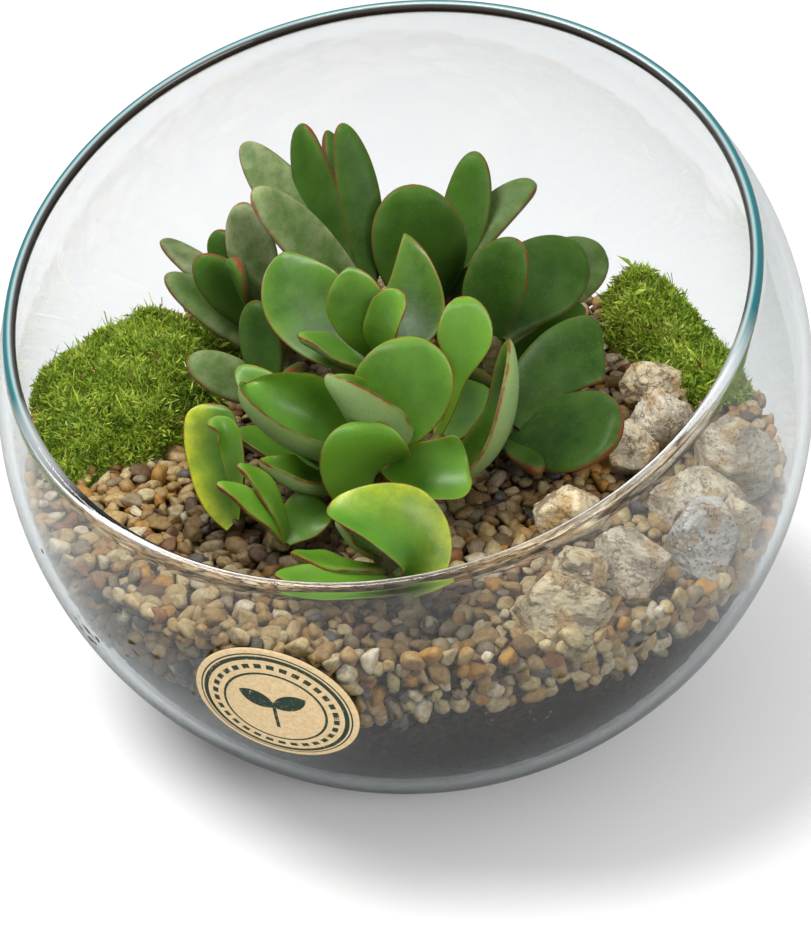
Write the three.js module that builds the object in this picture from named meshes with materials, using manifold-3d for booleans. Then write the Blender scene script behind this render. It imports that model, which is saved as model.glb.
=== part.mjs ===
// Glass plant terrarium: a glass bowl with a sloping mouth, filled with soil and gravel,
// planted with a wavy-leaved and a smooth-leaved succulent, and dressed with stones and moss.
// Units are millimetres. +Z is up, the mouth slopes down towards -Y, and the origin is the
// middle of the flat foot.
import * as THREE from 'three';
import { mergeVertices } from 'three/addons/utils/BufferGeometryUtils.js';
import Module from 'manifold-3d';

const wasm = await Module();
wasm.setup();

// Glass bowl
const BOWL_RADIUS = 115;
const BOWL_MIDDLE = 98;
const WALL = 3;
const FLOOR = 5;
const FOOT_ROUND = 12;
const MOUTH_TILT = THREE.MathUtils.degToRad(25);
const MOUTH_FROM_MIDDLE = 51.8;
const RIM_ROUND = 1.8;
const BOWL_SIDES = 34;
const BOWL_STEPS = 14;

// Round paper label on the outside of the glass
const LABEL_RADIUS = 22;
const LABEL_THICK = 0.6;
const LABEL_GAP = 0.3;
const LABEL_TURN = THREE.MathUtils.degToRad(-86);
const LABEL_DROP = THREE.MathUtils.degToRad(-18);
const LABEL_RINGS = 3;

// Soil and gravel
const FILL_GAP = 1;
const LAYER_GAP = 0.3;
const SOIL_MIDDLE = 70;
const GRAVEL_TOP = 81;
const GRAVEL_BOTTOM = 45;
const PEBBLE_RISE = 2.2;
const PEBBLE_UNEVEN = 0.7;
const PEBBLE_INSET = 1.2;
const FILL_RINGS = 19;
const SOIL_RINGS = 6;
const SOIL_CLEARING = 1.03;

// Stems
const ROOT_BOTTOM = 56;
const STEM_SIDES = 8;
const STEM_STEPS = 3;
const HOLE_GAP = 0.35;

// Stones and moss
const STONE_SOCKET = 1.04;
const STONE_CUTS = 9;
const STONE_GAP = 0.6;
const MOSS_REST = GRAVEL_TOP + PEBBLE_RISE + PEBBLE_UNEVEN + LAYER_GAP;
const MOSS_RINGS = 6;
const MOSS_TUFT = 3;
const MOSS_REACH = BOWL_RADIUS - WALL - 2.5;

// The sight line that leaf tips, stones and the label were placed along: turned from the
// front and raised above level, with the eye this far off. Picture points are in pixels.
const SIGHT_TURN = THREE.MathUtils.degToRad(21.6);
const SIGHT_RISE = THREE.MathUtils.degToRad(30.6);
const SIGHT_AWAY = 650;
const SIGHT_SCALE = 2273.6;
const SIGHT_LIFT = 21.5;
const PICTURE_MIDDLE = new THREE.Vector2(405.5, 463);

const middle = new THREE.Vector3(0, 0, BOWL_MIDDLE);
const towards = new THREE.Vector3(
  Math.sin(SIGHT_TURN) * Math.cos(SIGHT_RISE),
  -Math.cos(SIGHT_TURN) * Math.cos(SIGHT_RISE),
  Math.sin(SIGHT_RISE),
);
const right = new THREE.Vector3(Math.cos(SIGHT_TURN), Math.sin(SIGHT_TURN), 0);
const above = new THREE.Vector3().crossVectors(towards, right);

// The point seen at a picture place and lying this far in front of the bowl's middle
function seen([across, down, near]) {
  const depth = SIGHT_AWAY - near;
  return middle.clone()
    .addScaledVector(right, ((across - PICTURE_MIDDLE.x) * depth) / SIGHT_SCALE)
    .addScaledVector(above, ((PICTURE_MIDDLE.y - down) * depth) / SIGHT_SCALE - SIGHT_LIFT)
    .addScaledVector(towards, near);
}

// A direction given as seen: to the right, upwards and towards the eye
function facing([toRight, upwards, nearer]) {
  return new THREE.Vector3()
    .addScaledVector(right, toRight)
    .addScaledVector(above, upwards)
    .addScaledVector(towards, nearer)
    .normalize();
}

// Random numbers that come out the same every time
function dice(seed) {
  let state = seed;
  return () => {
    state = (state + 0x6d2b79f5) | 0;
    let mixed = Math.imul(state ^ (state >>> 15), 1 | state);
    mixed = (mixed + Math.imul(mixed ^ (mixed >>> 7), 61 | mixed)) ^ mixed;
    return ((mixed ^ (mixed >>> 14)) >>> 0) / 4294967296;
  };
}

// Closed solids from three.js geometry, and back
function solid(geometry) {
  const bare = new THREE.BufferGeometry();
  bare.setAttribute('position', geometry.getAttribute('position'));
  bare.setIndex(geometry.getIndex());
  const merged = mergeVertices(bare, 1e-3);
  const places = merged.getAttribute('position');
  const corners = [];
  let volume = 0;
  const [a, b, c] = [new THREE.Vector3(), new THREE.Vector3(), new THREE.Vector3()];
  for (let i = 0; i < merged.index.count; i += 3) {
    const [p, q, r] = [0, 1, 2].map((k) => merged.index.getX(i + k));
    if (p === q || q === r || r === p) continue;
    corners.push(p, q, r);
    a.fromBufferAttribute(places, p);
    b.fromBufferAttribute(places, q);
    c.fromBufferAttribute(places, r);
    volume += a.dot(b.cross(c));
  }
  if (volume < 0) corners.reverse();
  return new wasm.Manifold(new wasm.Mesh({
    numProp: 3,
    vertProperties: new Float32Array(places.array),
    triVerts: new Uint32Array(corners),
  }));
}

function surface(body) {
  const mesh = body.getMesh();
  const geometry = new THREE.BufferGeometry();
  geometry.setAttribute('position', new THREE.BufferAttribute(mesh.vertProperties, 3));
  geometry.setIndex(new THREE.BufferAttribute(mesh.triVerts, 1));
  return mergeVertices(geometry, 1e-3);
}

function meshOf(points, corners) {
  const geometry = new THREE.BufferGeometry().setFromPoints(points);
  geometry.setIndex(corners);
  return geometry;
}

// Bowl
function turned(outline, sides) {
  return new THREE.LatheGeometry(outline, sides).rotateX(Math.PI / 2);
}

// Outline of a ball of this radius with a flat bottom at the given level, from the axis up
function ballOutline(radius, bottom) {
  const roundZ = bottom + FOOT_ROUND;
  const roundX = Math.sqrt((radius - FOOT_ROUND) ** 2 - (BOWL_MIDDLE - roundZ) ** 2);
  const meet = Math.atan2(roundZ - BOWL_MIDDLE, roundX);
  const outline = [new THREE.Vector2(0, bottom), new THREE.Vector2(roundX, bottom)];
  const half = (meet - Math.PI / 2) / 2;
  outline.push(new THREE.Vector2(
    roundX + FOOT_ROUND * Math.cos(half),
    roundZ + FOOT_ROUND * Math.sin(half),
  ));
  for (let i = 0; i <= BOWL_STEPS; i += 1) {
    const angle = meet + ((Math.PI / 2 - meet) * i) / BOWL_STEPS;
    outline.push(new THREE.Vector2(
      i === BOWL_STEPS ? 0 : radius * Math.cos(angle),
      BOWL_MIDDLE + radius * Math.sin(angle),
    ));
  }
  return outline;
}

function bowlGeometry() {
  const outside = solid(turned(ballOutline(BOWL_RADIUS, 0), BOWL_SIDES));
  const inside = solid(turned(ballOutline(BOWL_RADIUS - WALL, FLOOR), BOWL_SIDES));
  const size = 4 * BOWL_RADIUS;
  const cutBlock = new THREE.BoxGeometry(size, size, size)
    .translate(0, 0, MOUTH_FROM_MIDDLE + size / 2)
    .rotateX(MOUTH_TILT)
    .translate(0, 0, BOWL_MIDDLE);
  const wallMiddle = BOWL_RADIUS - WALL / 2;
  const rimRadius = Math.sqrt(wallMiddle ** 2 - MOUTH_FROM_MIDDLE ** 2);
  const rim = new THREE.TorusGeometry(rimRadius, RIM_ROUND, 7, 48)
    .translate(0, 0, MOUTH_FROM_MIDDLE)
    .rotateX(MOUTH_TILT)
    .translate(0, 0, BOWL_MIDDLE);
  return surface(outside.subtract(inside).subtract(solid(cutBlock)).add(solid(rim)));
}

// A disc of even triangles: ring i has 6 i corners. Each corner gives its share of the
// radius, its angle, and whether it is a bump (one in three, never two together).
function discGrid(rings) {
  const corners = [{ share: 0, angle: 0, bump: true }];
  const first = [0];
  for (let ring = 1; ring <= rings; ring += 1) {
    first.push(corners.length);
    for (let k = 0; k < 6 * ring; k += 1) {
      const sector = Math.floor(k / ring);
      const along = k % ring;
      const kind = sector % 2 === 0 ? ring - along + 2 * along : 2 * (ring - along) + along;
      corners.push({ share: ring / rings, angle: (Math.PI * k) / (3 * ring), bump: kind % 3 === 0 });
    }
  }
  const faces = [];
  for (let ring = 1; ring <= rings; ring += 1) {
    const outer = (k) => first[ring] + (k % (6 * ring));
    const inner = (k) => (ring === 1 ? 0 : first[ring - 1] + (k % (6 * (ring - 1))));
    for (let sector = 0; sector < 6; sector += 1) {
      for (let k = 0; k < ring; k += 1) {
        const out = sector * ring + k;
        const within = sector * (ring - 1) + k;
        faces.push([outer(out), outer(out + 1), inner(within)]);
        if (k < ring - 1) faces.push([inner(within), outer(out + 1), inner(within + 1)]);
      }
    }
  }
  return { corners, faces, rimStart: first[rings], rimCount: 6 * rings };
}

// Soil and gravel
const fillRadius = BOWL_RADIUS - WALL - FILL_GAP;

function wallReach(level) {
  const flat = Math.sqrt(fillRadius ** 2 - (level - BOWL_MIDDLE) ** 2);
  const rounding = Math.max(0, 1 - (level - FLOOR - FILL_GAP) / FOOT_ROUND);
  return flat - rounding * 1.5;
}

function soilLevel(share, angle) {
  const turn = (degrees) => angle - THREE.MathUtils.degToRad(degrees);
  const wall = 60 + 9 * Math.cos(turn(15)) - 3 * Math.cos(2 * turn(-60)) + 1.2 * Math.cos(7 * angle);
  const ease = share * share * (3 - 2 * share);
  return SOIL_MIDDLE + (wall - SOIL_MIDDLE) * ease;
}

function layerPoint(share, angle, level, inset = 0) {
  const reach = wallReach(level) * share - inset;
  return new THREE.Vector3(reach * Math.cos(angle), reach * Math.sin(angle), level);
}

// A layer that fills the bowl from a flat bottom up to an uneven top. Its wall stands back
// from the glass by inset, except at one corner in three.
function layerGeometry(grid, topLevel, bottom, wallRings, inset = 0) {
  const points = grid.corners.map((c) => layerPoint(c.share, c.angle, topLevel(c)));
  const corners = grid.faces.flatMap((face) => face);
  let upper = grid.corners.map((_, i) => i).slice(grid.rimStart);
  for (let ring = 1; ring <= wallRings; ring += 1) {
    const lower = upper.map((_, k) => {
      const corner = grid.corners[grid.rimStart + k];
      const high = topLevel(corner);
      const level = high + ((bottom - high) * ring) / wallRings;
      const back = (k + ring) % 3 === 0 ? 0 : inset;
      return points.push(layerPoint(1, corner.angle, level, back)) - 1;
    });
    upper.forEach((a, k) => {
      const next = (k + 1) % upper.length;
      corners.push(a, lower[k], upper[next], upper[next], lower[k], lower[next]);
    });
    upper = lower;
  }
  const under = points.push(new THREE.Vector3(0, 0, bottom)) - 1;
  upper.forEach((a, k) => corners.push(a, under, upper[(k + 1) % upper.length]));
  return meshOf(points, corners);
}

function soilGeometry(lift, spread) {
  return layerGeometry(
    discGrid(SOIL_RINGS),
    (c) => soilLevel(c.share, c.angle) + lift,
    FLOOR + FILL_GAP,
    4,
  ).scale(spread, spread, 1);
}

// Gravel: a flat-bottomed layer with pebbles in relief, cut away where the soil is
function gravelSolid() {
  const roll = dice(41);
  const grid = discGrid(FILL_RINGS);
  const levels = new Map(grid.corners.map((c) => [
    c,
    GRAVEL_TOP + (c.bump ? PEBBLE_RISE : 0) + PEBBLE_UNEVEN * (2 * roll() - 1),
  ]));
  const layer = solid(layerGeometry(grid, (c) => levels.get(c), GRAVEL_BOTTOM, 6, PEBBLE_INSET));
  return layer.subtract(solid(soilGeometry(LAYER_GAP, SOIL_CLEARING)));
}

// Label
function labelGeometry() {
  const grid = discGrid(LABEL_RINGS);
  const axis = new THREE.Vector3(
    Math.cos(LABEL_DROP) * Math.cos(LABEL_TURN),
    Math.cos(LABEL_DROP) * Math.sin(LABEL_TURN),
    Math.sin(LABEL_DROP),
  );
  const side = new THREE.Vector3(-Math.sin(LABEL_TURN), Math.cos(LABEL_TURN), 0);
  const up = new THREE.Vector3().crossVectors(axis, side);
  const spread = LABEL_RADIUS / BOWL_RADIUS;
  const place = (corner, radius) => {
    const lean = spread * corner.share;
    return middle.clone()
      .addScaledVector(axis, radius * Math.cos(lean))
      .addScaledVector(side, radius * Math.sin(lean) * Math.cos(corner.angle))
      .addScaledVector(up, radius * Math.sin(lean) * Math.sin(corner.angle));
  };
  const inner = BOWL_RADIUS + LABEL_GAP;
  const points = grid.corners.map((c) => place(c, inner + LABEL_THICK));
  const start = points.length;
  grid.corners.forEach((c) => points.push(place(c, inner)));
  const corners = grid.faces.flatMap(([a, b, c]) => [a, b, c, start + a, start + c, start + b]);
  for (let k = 0; k < grid.rimCount; k += 1) {
    const a = grid.rimStart + k;
    const b = grid.rimStart + ((k + 1) % grid.rimCount);
    corners.push(a, start + a, b, b, start + a, start + b);
  }
  return meshOf(points, corners);
}

// Leaves. A leaf grows from its stem to a tip, along a curve that bows out by arch or runs
// by way of a point. Its face looks at the given direction, its sides cup up, and its
// margins wave. Lengths are in millimetres, angles in radians.
const WAVY_LEAF = {
  thick: 2.6, neck: 0.34, taper: 1.1, full: 0.6, blunt: 2.2, rows: 6, cup: 0.5, arch: 0,
  wave: 1, waves: 1.7,
};
const SMOOTH_LEAF = {
  thick: 4.8, neck: 0.5, taper: 1.1, full: 0.54, blunt: 2, rows: 5, cup: 0.25, arch: 0,
  wave: 0, waves: 0,
};
const ACROSS = [-1, -0.58, 0, 0.58, 1];

function leafWidth(kind, along) {
  if (along < kind.full) {
    return kind.neck + (1 - kind.neck) * Math.sin((Math.PI / 2) * (along / kind.full)) ** kind.taper;
  }
  const past = (along - kind.full) / (1 - kind.full);
  return Math.sqrt(Math.max(0, 1 - past ** kind.blunt));
}

function leafGeometry(base, row, kind) {
  const leaf = { ...kind, ...row };
  const tip = seen(leaf.tip);
  const face = facing(leaf.face);
  const bend = leaf.via
    ? seen(leaf.via)
    : base.clone().add(tip).multiplyScalar(0.5).addScaledVector(face, leaf.arch * 2);
  const spine = new THREE.QuadraticBezierCurve3(base, bend, tip);
  const place = (along, across, side) => {
    const half = (leaf.wide / 2) * leafWidth(leaf, along);
    const run = spine.getTangent(along);
    const sideways = new THREE.Vector3().crossVectors(run, face).normalize();
    const outward = new THREE.Vector3().crossVectors(sideways, run).normalize();
    const cup = leaf.cup * Math.abs(across);
    const ripple = Math.sin(2 * Math.PI * leaf.waves * along + Math.sign(across));
    const body = (leaf.thick / 2) * Math.sqrt(1 - across ** 2) * Math.min(1, 0.35 + leafWidth(leaf, along));
    const lift = half * Math.abs(across) * Math.tan(cup / 2) + leaf.wave * along * across ** 2 * ripple;
    return spine.getPoint(along)
      .addScaledVector(sideways, half * across * Math.cos(cup / 2))
      .addScaledVector(outward, lift + side * body);
  };
  const points = [];
  const top = [];
  const bottom = [];
  for (let i = 0; i < leaf.rows; i += 1) {
    const along = 1 - (1 - i / leaf.rows) ** 1.5;
    top.push(ACROSS.map((across) => points.push(place(along, across, 1)) - 1));
    bottom.push(ACROSS.map((across, j) => (
      Math.abs(across) === 1 ? top[i][j] : points.push(place(along, across, -1)) - 1
    )));
  }
  const end = points.push(tip.clone()) - 1;
  const corners = [];
  for (let j = 0; j + 1 < ACROSS.length; j += 1) {
    for (let i = 0; i + 1 < leaf.rows; i += 1) {
      const [a, b, c, d] = [top[i][j], top[i][j + 1], top[i + 1][j], top[i + 1][j + 1]];
      corners.push(a, b, c, b, d, c);
      const [e, f, g, h] = [bottom[i][j], bottom[i][j + 1], bottom[i + 1][j], bottom[i + 1][j + 1]];
      corners.push(e, g, f, f, g, h);
    }
    const last = leaf.rows - 1;
    corners.push(top[last][j], top[last][j + 1], end, bottom[last][j], end, bottom[last][j + 1]);
    corners.push(top[0][j + 1], top[0][j], bottom[0][j]);
    corners.push(top[0][j + 1], bottom[0][j], bottom[0][j + 1]);
  }
  return meshOf(points, corners);
}

// Each stem: where it stands, where its crown is seen, and its leaves, each from a share
// of the way up the stem
const WAVY_STEMS = [
  {
    name: 'wavy_stem_back',
    stand: [-1, -18],
    crown: [384, 356, 30],
    thick: 5.5,
    leaves: [
      { at: 0.94, tip: [285, 251, 13], wide: 24.5, face: [-0.15, 0.2, 1], via: [300, 324, 16], blunt: 1.7 },
      { at: 0.98, tip: [348, 267, 42], wide: 19, face: [-0.4, 0.2, 0.9], via: [362, 316, 42], blunt: 1.6 },
      {
        at: 0.97, tip: [402, 291, 50], wide: 12.5, face: [-0.2, 0.3, 0.9], via: [376, 326, 47],
        full: 0.45, blunt: 2.5,
      },
      {
        at: 0.99, tip: [404, 233, 24], wide: 22, face: [-0.35, 0.1, 0.9], via: [436, 306, 26],
        full: 0.4, blunt: 1.2,
      },
      { at: 0.9, tip: [297, 335, 32], wide: 13, face: [0.1, 0.85, 0.45] },
      { at: 0.7, tip: [345, 330, 4], wide: 18, face: [-0.1, 0.9, 0.3] },
    ],
  },
  {
    name: 'wavy_stem_middle',
    stand: [4, -40],
    crown: [396, 440, 46],
    thick: 5.5,
    leaves: [
      {
        at: 0.98, tip: [399, 337, 54], wide: 27, face: [0.05, 0.2, 1], via: [408, 396, 50],
        cup: 0.35, wave: 0.7,
      },
      {
        at: 0.95, tip: [328, 375, 62], wide: 24, face: [0.1, 0.95, 0.15], via: [352, 434, 66],
        neck: 0.6, cup: 1.2,
      },
      {
        at: 0.8, tip: [247, 383, 44], wide: 29, face: [0.1, 0.72, 0.69], via: [278, 452, 50],
        cup: 1.5, wave: 0.6,
      },
      { at: 0.66, tip: [237, 367, 22], wide: 13, face: [-0.3, 0.3, 0.9] },
      { at: 0.73, tip: [318, 412, 22], wide: 20, face: [-0.1, 0.5, 0.85] },
      {
        at: 0.62, tip: [358, 421, 64], wide: 25, face: [0, 0.3, 1], via: [362, 458, 64],
        neck: 0.65, full: 0.45, blunt: 2.8,
      },
      { at: 0.6, tip: [232, 432, 28], wide: 20, face: [-0.1, 0.9, 0.4] },
      { at: 0.66, tip: [261, 458, 50], wide: 13, face: [0.05, 0.85, 0.5], via: [288, 502, 52], cup: 1.3 },
      {
        at: 0.85, tip: [471, 473, 50], wide: 20, face: [-0.5, 0.3, 0.8], via: [430, 480, 50],
        full: 0.75, blunt: 4, cup: 1.0,
      },
    ],
  },
  {
    name: 'wavy_stem_right',
    stand: [26, -28],
    crown: [436, 434, 30],
    thick: 5,
    leaves: [
      {
        at: 0.98, tip: [462, 296, 46], wide: 15.5, face: [0.05, 0.25, 1], via: [472, 384, 42],
        neck: 0.14, full: 0.78, taper: 10,
      },
      {
        at: 0.66, tip: [509, 338, 38], wide: 15, face: [-0.95, 0.1, 0.3], via: [532, 446, 42],
        neck: 0.7, full: 0.4, blunt: 1.7, cup: 1.4, wave: 0.6,
      },
      { at: 0.9, tip: [482, 384, 14], wide: 15, face: [-0.2, 0.3, 0.9] },
    ],
  },
  {
    name: 'wavy_stem_front',
    stand: [34, -80],
    crown: [374, 546, 60],
    thick: 5,
    leaves: [
      {
        at: 0.66, tip: [327, 508, 72], wide: 24, face: [0.3, 0.5, 0.8], via: [452, 532, 77],
        neck: 0.3, full: 0.6, blunt: 1.6, cup: 0.8,
      },
      { at: 0.9, tip: [337, 518, 66], wide: 10, face: [0.4, 0.7, 0.6], via: [354, 548, 64], cup: 1.2 },
      { at: 0.7, tip: [275, 573, 68], wide: 10, face: [0, 0.8, 0.6], via: [322, 590, 71] },
      { at: 0.8, tip: [291, 552, 61], wide: 9, face: [-0.1, 0.9, 0.3], via: [332, 572, 65] },
    ],
  },
  {
    name: 'wavy_stem_left',
    stand: [-11, -66],
    crown: [284, 542, 49],
    thick: 5,
    leaves: [
      { at: 0.95, tip: [216, 483, 60], wide: 7, face: [0.5, 0.5, 0.7], via: [262, 506, 57] },
      { at: 0.98, tip: [237, 464, 57], wide: 7, face: [0.5, 0.5, 0.7], via: [280, 494, 54] },
      { at: 0.98, tip: [322, 500, 42], wide: 14, face: [0.1, 0.5, 0.85] },
    ],
  },
  {
    name: 'wavy_stem_far_left',
    stand: [-25, -61],
    crown: [238, 518, 40],
    thick: 4,
    leaves: [
      {
        at: 0.9, tip: [213, 403, 40], wide: 15, face: [-0.2, 0.15, 1], via: [208, 490, 39],
        neck: 0.6, full: 0.82, blunt: 3.5,
      },
      { at: 0.98, tip: [207, 424, 50], wide: 8, face: [-0.3, 0.5, 0.8], via: [244, 424, 48], cup: 1.0 },
    ],
  },
];

const SMOOTH_STEMS = [
  {
    name: 'smooth_stem_left',
    stand: [-40, 12],
    crown: [264, 302, -20],
    thick: 7,
    leaves: [
      { at: 0.97, tip: [242, 202, -8], wide: 15.5, face: [-0.3, 0.1, 0.95] },
      { at: 0.92, tip: [214, 231, -20], wide: 15, face: [-0.6, 0.1, 0.8] },
      { at: 0.9, tip: [161, 240, -40], wide: 10, thick: 4, face: [0, 0.6, 0.8] },
      { at: 0.85, tip: [196, 257, -10], wide: 15, face: [-0.4, 0.2, 0.9] },
      { at: 0.98, tip: [234, 257, 4], wide: 12, face: [-0.75, 0.1, 0.6], via: [240, 292, 0] },
      { at: 0.7, tip: [165, 275, -22], wide: 12.5, face: [-0.2, 0.5, 0.85] },
      { at: 0.9, tip: [262, 262, -58], wide: 15, face: [-0.2, 0.9, -0.2] },
    ],
  },
  {
    name: 'smooth_stem_middle',
    stand: [-20, 16],
    crown: [368, 274, -12],
    thick: 7,
    leaves: [
      { at: 0.9, tip: [243, 143, -30], wide: 16.5, face: [0.2, -0.1, 0.95], full: 0.5 },
      { at: 0.95, tip: [302, 123, -20], wide: 15, face: [-0.6, 0.1, 0.75], via: [314, 206, -24] },
      { at: 0.96, tip: [327, 130, -32], wide: 10, face: [0.6, 0, 0.8], via: [346, 215, -30] },
      { at: 0.98, tip: [341, 123, -4], wide: 12.5, face: [0.2, -0.1, 0.95], via: [366, 206, -8] },
      { at: 0.88, tip: [252, 190, 16], wide: 15.5, face: [-0.15, 0.45, 0.9], arch: 1.5 },
      { at: 0.85, tip: [330, 225, -54], wide: 16, face: [-0.1, 0.9, -0.2] },
      { at: 0.66, tip: [300, 318, 0], wide: 15, face: [0, 0.8, 0.5] },
    ],
  },
  {
    name: 'smooth_stem_back',
    stand: [0, 38],
    crown: [442, 280, -24],
    thick: 7,
    leaves: [
      {
        at: 0.9, tip: [413, 184, -2], wide: 28, thick: 5.5, face: [0.05, 0.1, 1],
        via: [413, 262, -8], blunt: 2.4,
      },
      { at: 0.97, tip: [475, 151, -22], wide: 15, face: [-0.3, 0, 0.95], via: [470, 222, -24] },
      { at: 0.97, tip: [536, 183, -26], wide: 13, face: [0.1, 0.7, 0.7], via: [488, 208, -24] },
      { at: 0.9, tip: [450, 225, -58], wide: 17, face: [0.1, 0.9, -0.2] },
      { at: 0.8, tip: [482, 272, -16], wide: 15, face: [0.1, 0.6, 0.8] },
    ],
  },
  {
    name: 'smooth_stem_right',
    stand: [20, 24],
    crown: [490, 328, -6],
    thick: 7,
    leaves: [
      { at: 0.95, tip: [521, 241, 8], wide: 19, face: [-0.25, 0.1, 0.95], via: [484, 290, 2] },
      {
        at: 0.97, tip: [589, 260, -14], wide: 26, thick: 5.5, face: [0.05, 0.4, 0.9],
        via: [532, 272, -12],
      },
      { at: 0.93, tip: [607, 255, -36], wide: 22, face: [0.2, 0.4, 0.9], via: [552, 268, -32] },
      { at: 0.8, tip: [584, 306, -20], wide: 14, face: [0.1, 0.6, 0.8] },
      { at: 0.9, tip: [520, 262, -52], wide: 17, face: [0.1, 0.9, -0.2] },
      { at: 0.6, tip: [446, 360, 8], wide: 16, face: [-0.1, 0.8, 0.5] },
    ],
  },
  {
    name: 'smooth_stem_low_right',
    stand: [30, 2],
    crown: [506, 418, 8],
    thick: 6.5,
    leaves: [
      {
        at: 0.97, tip: [604, 350, 4], wide: 22, thick: 5.2, face: [0, 0.4, 0.9],
        via: [560, 348, 6], full: 0.78, blunt: 4.5,
      },
      { at: 0.75, tip: [622, 434, 30], wide: 27, thick: 5.6, face: [0.05, 0.4, 0.9], full: 0.64 },
      { at: 0.7, tip: [539, 472, 30], wide: 9, thick: 4, face: [0.2, 0.5, 0.8] },
    ],
  },
  {
    name: 'smooth_stem_low_left',
    stand: [-32, -12],
    crown: [270, 390, 4],
    thick: 6,
    leaves: [
      { at: 0.9, tip: [187, 360, 8], wide: 14, face: [-0.1, 0.5, 0.85] },
      { at: 0.96, tip: [254, 300, 4], wide: 13, face: [-0.35, 0.1, 0.9] },
      { at: 0.8, tip: [300, 366, 10], wide: 15, face: [0, 0.85, 0.4] },
    ],
  },
];

function stemCurve(stem) {
  const [x, y] = stem.stand;
  return new THREE.CatmullRomCurve3([
    new THREE.Vector3(x, y, ROOT_BOTTOM),
    new THREE.Vector3(x, y, GRAVEL_TOP),
    seen(stem.crown),
  ]);
}

function rod(curve, radius) {
  const outline = new THREE.Shape();
  outline.absarc(0, 0, radius, 0, 2 * Math.PI);
  return new THREE.ExtrudeGeometry(outline, {
    steps: STEM_STEPS, curveSegments: STEM_SIDES / 2, extrudePath: curve, bevelEnabled: false,
  });
}

function stemSolid(stem, kind) {
  const curve = stemCurve(stem);
  return stem.leaves.reduce(
    (plant, row) => plant.add(solid(leafGeometry(curve.getPoint(row.at), row, kind))),
    solid(rod(curve, stem.thick / 2)),
  );
}

function stemHole(stem) {
  const [x, y] = stem.stand;
  const curve = new THREE.CatmullRomCurve3([
    new THREE.Vector3(x, y, ROOT_BOTTOM - HOLE_GAP),
    new THREE.Vector3(x, y, GRAVEL_TOP),
    seen(stem.crown),
  ]);
  return solid(rod(curve, stem.thick / 2 + HOLE_GAP));
}

// Stones: rough lumps bounded by a few broken faces. place is the middle, size is half
// the length along three axes, turn is about +Z
const STONES = [
  { name: 'stone_1', place: [61, 44, 88], size: [11, 8, 8], turn: 0.4 },
  { name: 'stone_2', place: [70, 24, 89], size: [9, 9, 10.5], turn: 0.9 },
  { name: 'stone_3', place: [64, 9, 86], size: [9, 8.5, 9], turn: 0.1 },
  { name: 'stone_4', place: [60, -30, 87], size: [9.5, 8, 8], turn: 0.6 },
  { name: 'stone_5', place: [95, 6, 91], size: [12.5, 10, 16], turn: 0.3 },
  { name: 'stone_6', place: [89, -9, 86], size: [14, 10, 9.5], turn: 0.5 },
  { name: 'stone_7', place: [95, -30, 83], size: [10.5, 9.5, 17], turn: 0.2 },
  { name: 'stone_8', place: [80, -46, 84], size: [12.5, 9.5, 13], turn: -0.3 },
  { name: 'stone_9', place: [71.5, -58, 88], size: [7.5, 7, 8], turn: 0.4 },
  { name: 'stone_10', place: [69.5, -70, 81.5], size: [12.5, 10, 13], turn: 0.2 },
  { name: 'stone_11', place: [102, -17, 83], size: [6.5, 7, 12], turn: 0.4 },
];

function stoneGeometry(stone, seed, scale) {
  const roll = dice(seed);
  const cuts = [];
  for (let i = 0; i < STONE_CUTS; i += 1) {
    const level = 1 - (2 * (i + roll())) / STONE_CUTS;
    const angle = 2.4 * i + roll();
    const flat = Math.sqrt(1 - level * level);
    cuts.push({
      normal: new THREE.Vector3(flat * Math.cos(angle), flat * Math.sin(angle), level),
      away: 0.68 + 0.24 * roll(),
    });
  }
  const geometry = new THREE.IcosahedronGeometry(1, 1);
  const places = geometry.getAttribute('position');
  const point = new THREE.Vector3();
  for (let i = 0; i < places.count; i += 1) {
    point.fromBufferAttribute(places, i).normalize();
    let reach = 1;
    cuts.forEach(({ normal, away }) => {
      const leaning = point.dot(normal);
      if (leaning > 0.05) reach = Math.min(reach, away / leaning);
    });
    point.multiplyScalar(reach * scale);
    places.setXYZ(i, point.x * stone.size[0], point.y * stone.size[1], point.z * stone.size[2]);
  }
  return geometry.rotateZ(stone.turn).translate(...stone.place);
}

// A stone, flattened where it is pressed against a neighbour
function stoneSolid(stone, seed) {
  const place = new THREE.Vector3(...stone.place);
  const bulk = ({ size }) => size[0] + size[1] + size[2];
  return STONES.reduce((left, other) => {
    if (other === stone) return left;
    const from = new THREE.Vector3(...other.place);
    const share = bulk(other) / (bulk(other) + bulk(stone));
    const normal = place.clone().sub(from).normalize();
    const meet = from.lerp(place, share).addScaledVector(normal, STONE_GAP / 2);
    return left.trimByPlane(normal.toArray(), meet.dot(normal));
  }, solid(stoneGeometry(stone, seed, 1)));
}

// Moss cushions: a mound of tufts over an uneven outline. place is the middle, reach is
// half the length along two axes, turn is the long axis from +X, high is its crest
const CUSHIONS = [
  { name: 'moss_left', place: [-84, -8], reach: [46, 27], turn: 1.62, high: 15, seed: 5 },
  { name: 'moss_right', place: [66, 74], reach: [46, 22], turn: 2.42, high: 14, seed: 8 },
  { name: 'moss_back', place: [-8, 92], reach: [22, 13], turn: 3.0, high: 9, seed: 13 },
];

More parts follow.
